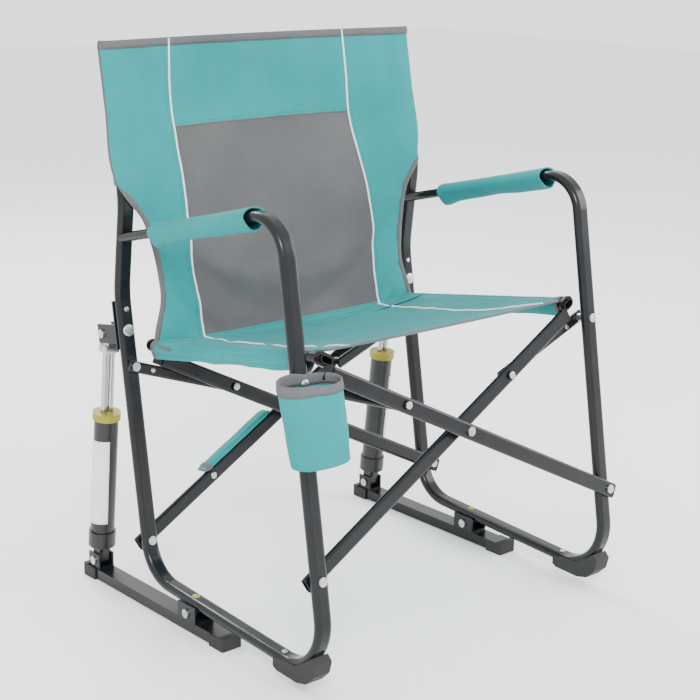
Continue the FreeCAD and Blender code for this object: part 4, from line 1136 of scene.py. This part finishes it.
def make_cup():
    """The soft cup pocket, hung from the right post with a grey band round its mouth."""
    tree = node_tree("cup_holder")
    base, mouth = node_end("cup_holder", True), node_end("cup_holder", False)
    count, rows = 48, []
    shares = np.linspace(0.985, CUP_BASE_SHARE, 26)
    turns = [2 * math.pi * i / count for i in range(count)]
    around = [Vector((math.cos(turn), math.sin(turn), 0)) for turn in turns]
    reaches = []
    for share in shares:
        spot = base.lerp(mouth, share)
        hits = [tree.ray_cast(spot + away * 0.3, -away)[0] for away in around]
        reaches.append([(hit - spot).length for hit in hits])
    reaches = np.median([np.roll(reaches, step, axis=1) for step in range(-4, 5)], axis=0)
    reaches = np.mean([np.roll(reaches, step, axis=1) for step in range(-2, 3)], axis=0)
    for share, reach in zip(shares, reaches):
        top_share = (share - CUP_BASE_SHARE) / (shares[0] - CUP_BASE_SHARE)
        axis_spot = base.lerp(mouth, share) + CUP_SHIFT * top_share
        ring = []
        for turn, away, radius in zip(turns, around, reach):
            spot = axis_spot + away * (float(radius) - 0.0008)
            spot.z += top_share ** 4 * (0.0040 * away.y - 0.0030 * away.x + 0.0012 * math.sin(3 * turn + 0.6))
            belly = math.sin(top_share * math.pi)
            spot += away * (wrinkle(spot, 0.040, (1, 1, 1.8), 8.0) * 0.0026 * (0.15 + belly))
            spot += away * (wrinkle(spot, 0.016, (1, 1, 1.3), 3.0) * 0.0005)
            ring.append(spot)
        rows.append(ring)
    floor_centre = base.lerp(mouth, CUP_BASE_SHARE)
    for share in (0.93, 0.8, 0.6, 0.35, 0.12):
        rows.append([floor_centre.lerp(point, share) + Vector((0, 0, 0.002 * (1 - share))) for point in rows[25]])
    cup = grid_piece("cup_pocket", rows, around=True)
    cap_ends(cup, count, len(rows), both=False)
    subdivide(cup)
    rim = rows[0]
    sides = [(top - under).normalized() for top, under in zip(rim, rows[2])]
    away = []
    for i in range(count):
        along = (rim[(i + 1) % count] - rim[i - 1]).normalized()
        away.append(along.cross(sides[i]).normalized())
    middle = sum(rim, Vector()) / count
    away = [normal if normal.dot(point - middle) > 0 else -normal for normal, point in zip(away, rim)]
    profile = [(3, 0.0014, 0), (2, 0.0016, 0), (1, 0.0016, 0), (0, 0.0015, 0), (0, 0.0, 0.0014),
               (0, -0.0015, 0), (1, -0.0016, 0), (2, -0.0016, 0), (3, -0.0014, 0)]
    band = grid_piece("cup_band", [[rows[r][i] + away[i] * out + sides[i] * rise for i in range(count)]
                                   for r, out, rise in profile], around=True)
    thicken(band, 0.0006)
    line = [point - side * 0.0100 for point, side in zip(rim, sides)]
    line.append(line[0])
    band_tree = surface_of(band)
    places = []
    for point in evenly(line, STITCH + STITCH_GAP):
        inward = (middle - point).normalized()
        inward.z = 0
        places.append(band_tree.ray_cast(point - inward * 0.03, inward)[0] or point)
    stitches = stitches_round("cup_stitches", places, middle, Vector((0, 0, 1)))
    thicken(cup, 0.0010)
    finish_piece(cup, "side_right", "teal_cloth")
    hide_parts("cup_holder")
    finish_piece(band, "side_right", "grey_binding")
    finish_piece(stitches, "side_right", "grey_binding")


STRAP_RISE, STRAP_BACK = 0.0158, 0.0045
STRAP_HALF, STRAP_PAST = (0.0036, 0.0105), (0.006, 0.030)


def make_strap():
    """The carry strap: cloth folded double, lying along the rear brace's upper edge, with a bound end."""
    node = frame["nodes"]["carry_strap"]
    points = np.array([vertex.co[:] for vertex in node.data.vertices])
    centre = Vector((points.min(axis=0) + points.max(axis=0)) / 2)
    _, _, axes = np.linalg.svd(points - points.mean(axis=0), full_matrices=False)
    along = Vector(axes[0])
    if along.z < 0:
        along = -along
    cross = REAR.cross(along).normalized()
    if cross.z < 0:
        cross = -cross
    reaches = (points - np.array(centre)) @ np.array(along)
    low, high = float(reaches.min()) - STRAP_PAST[0], float(reaches.max()) + STRAP_PAST[1]
    outline = [(a * STRAP_HALF[0] + (0.0003 if abs(a) < 0.5 else 0), b * STRAP_HALF[1]) for a, b in
               ((-1, -0.85), (-0.6, -1), (0.6, -1), (1, -0.85), (1, -0.3), (1.05, 0.3), (1, 0.85), (0.6, 1),
                (-0.6, 1), (-1, 0.85), (-1, 0.3), (-1, -0.3))]
    rows = []
    for share in np.linspace(0, 1, 46):
        spot = centre + along * (low + (high - low) * share) + cross * STRAP_RISE + REAR * STRAP_BACK
        swell = 1 + 0.10 * math.sin(share * math.pi) + 0.05 * math.sin(share * 23)
        swell *= 0.30 + 0.70 * ease(min(share, 1 - share), 0.0, 0.06)
        ring = []
        for a, b in outline:
            place = spot + cross * (a * swell) + REAR * b
            ring.append(place + cross * (wrinkle(place, 0.020, (1, 1, 1), 12.0) * 0.0009 * (a > 0)))
        rows.append(ring)
    strap = grid_piece("carry_strap_wrap", rows, around=True)
    subdivide(strap)
    thicken(strap, 0.0010)
    cuff_rows = []
    for ring in rows[:5]:
        core = sum(ring, Vector()) / len(ring)
        cuff_rows.append([core + (point - core) * 1.16 for point in ring])
    cuff = grid_piece("strap_binding", cuff_rows, around=True)
    cap_ends(cuff, len(outline), len(cuff_rows))
    finish_piece(strap, "cross_b", "teal_cloth")
    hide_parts("carry_strap")
    finish_piece(cuff, "cross_b", "grey_binding")


# ---- small trim --------------------------------------------------------------------------------------

HEAD_SIDES = 24
HEAD_PROFILE = ((1.0, -0.3), (1.0, 0.45), (0.93, 0.7), (0.75, 0.88), (0.5, 0.97), (0.25, 1.0), (0.04, 1.0))
LINK_REACH, STRAP_BOLT = 0.135, 0.176


def domed_head(name, place, normal, radius, height, body, material):
    """A low domed disc standing on a surface."""
    side = normal.orthogonal().normalized()
    other = normal.cross(side)
    rows, turn = [], math.pi * 2 / HEAD_SIDES
    for share, rise in HEAD_PROFILE:
        rows.append([place + (side * math.cos(k * turn) + other * math.sin(k * turn))
                     * (radius * share) + normal * (height * rise) for k in range(HEAD_SIDES)])
    piece = grid_piece(name, rows, around=True)
    cap_ends(piece, HEAD_SIDES, len(rows), both=False)
    finish_piece(piece, body, material)
    return piece


def make_trim(side):
    name, body = SIDE_NAMES[side], f"side_{SIDE_NAMES[side]}"
    x = MIDDLE + side * SPAN
    base = node_tree(f"base_tube_{name}")
    for tag, y, radius, height, material in (("dot", 0.014, 0.0062, 0.0016, "damper_yellow"),
                                             ("screw", -0.200, 0.0042, 0.0022, "zinc_bolt")):
        hit = base.ray_cast(Vector((x, y, 0.20)), Vector((0, 0, -1)))
        domed_head(f"base_{tag}_{name}", hit[0], hit[1], radius, height, body, material)
    back = node_tree(f"back_tube_{name}")
    for tag, z, radius, height in (("washer", 0.4386, 0.0095, 0.0026), ("screw", 0.471, 0.0040, 0.0022)):
        hit = back.ray_cast(Vector((x, -0.1, z)), Vector((0, 1, 0)))
        if hit[0]:
            domed_head(f"leg_{tag}_{name}", hit[0], hit[1], radius, height, body, "zinc_bolt")


def plane_head(name, plane_y, x, z, node, body, radius, height):
    """A domed head where a ray along the brace planes' normal meets the front of a node."""
    start = in_plane(x, plane_y - 0.10, z)
    place = node_tree(node).ray_cast(start, REAR, 0.2)[0]
    if place:
        domed_head(name, place, -REAR, radius, height, body, "zinc_bolt")


def make_rivets():
    """The bolt heads on the braces and the small rivets on the stay links."""
    pivot, crossing, stay = (Vector(joint(name)["pos_m"]) for name in ("fold", "cross", "link_front_right"))
    rear_gap = (Vector(joint("link_rear_right")["pos_m"]) - stay).dot(REAR)
    rise, stay_height = (crossing - pivot).dot(UP), (stay - pivot).dot(UP)
    angle = math.atan2(rise, SPAN)
    along = Vector((math.cos(angle), math.sin(angle)))
    for plane, plane_y in (("front", 0.0), ("rear", rear_gap)):
        for name, sign in (("a", -1), ("b", 1)):
            node, body = f"brace_{plane}_{name}", f"cross_{name}"
            x, z = sign * along.x * LINK_REACH, rise + along.y * LINK_REACH
            plane_head(f"brace_head_{plane}_{name}", plane_y, x, z, node, body, 0.0058, 0.0026)
        for side in (RIGHT, LEFT):
            tag = SIDE_NAMES[side]
            x, z = side * (SPAN - 0.031), stay_height - 0.0109
            plane_head(f"stay_rivet_{plane}_{tag}", plane_y, x, z, f"stay_link_{plane}_{tag}",
                       f"link_{plane}_{tag}", 0.0038, 0.0018)
    x, z = -along.x * STRAP_BOLT, rise - along.y * STRAP_BOLT
    plane_head("strap_bolt", rear_gap, x, z, "brace_rear_b", "cross_b", 0.0056, 0.0026)


def make_label(side):
    """A blank white label on the outer front of one damper."""
    name = SIDE_NAMES[side]
    tree = node_tree(f"damper_cylinder_{name}")
    base, top = node_end(f"damper_cylinder_{name}", True), node_end(f"damper_cylinder_{name}", False)
    rows = []
    for share in np.linspace(0.30, 0.86, 30):
        spot = base.lerp(top, share)
        row = []
        for turn in np.linspace(-50, 40, 19):
            angle = math.radians(turn)
            away = Vector((side * math.cos(angle) * 0.75 - 0.66 * math.sin(angle) * side,
                           -math.cos(angle) * 0.66 - math.sin(angle) * 0.75, 0)).normalized()
            hit = tree.ray_cast(spot + away * 0.2, -away)[0] or spot + away * 0.0195
            row.append(hit + away * 0.0006)
        rows.append(row)
    label = grid_piece(f"blank_label_{name}", rows)
    thicken(label, 0.0008)
    dress(label, "white_label")
    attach(label, f"damper_{name}")


make_backrest()
make_seat()
for each_side in (RIGHT, LEFT):
    make_back_sleeve(each_side)
    make_seat_sleeve(each_side)
    make_arm_cover(each_side)
    make_trim(each_side)
    make_label(each_side)
make_cup()
make_cup_bolt()
make_strap()
make_rivets()
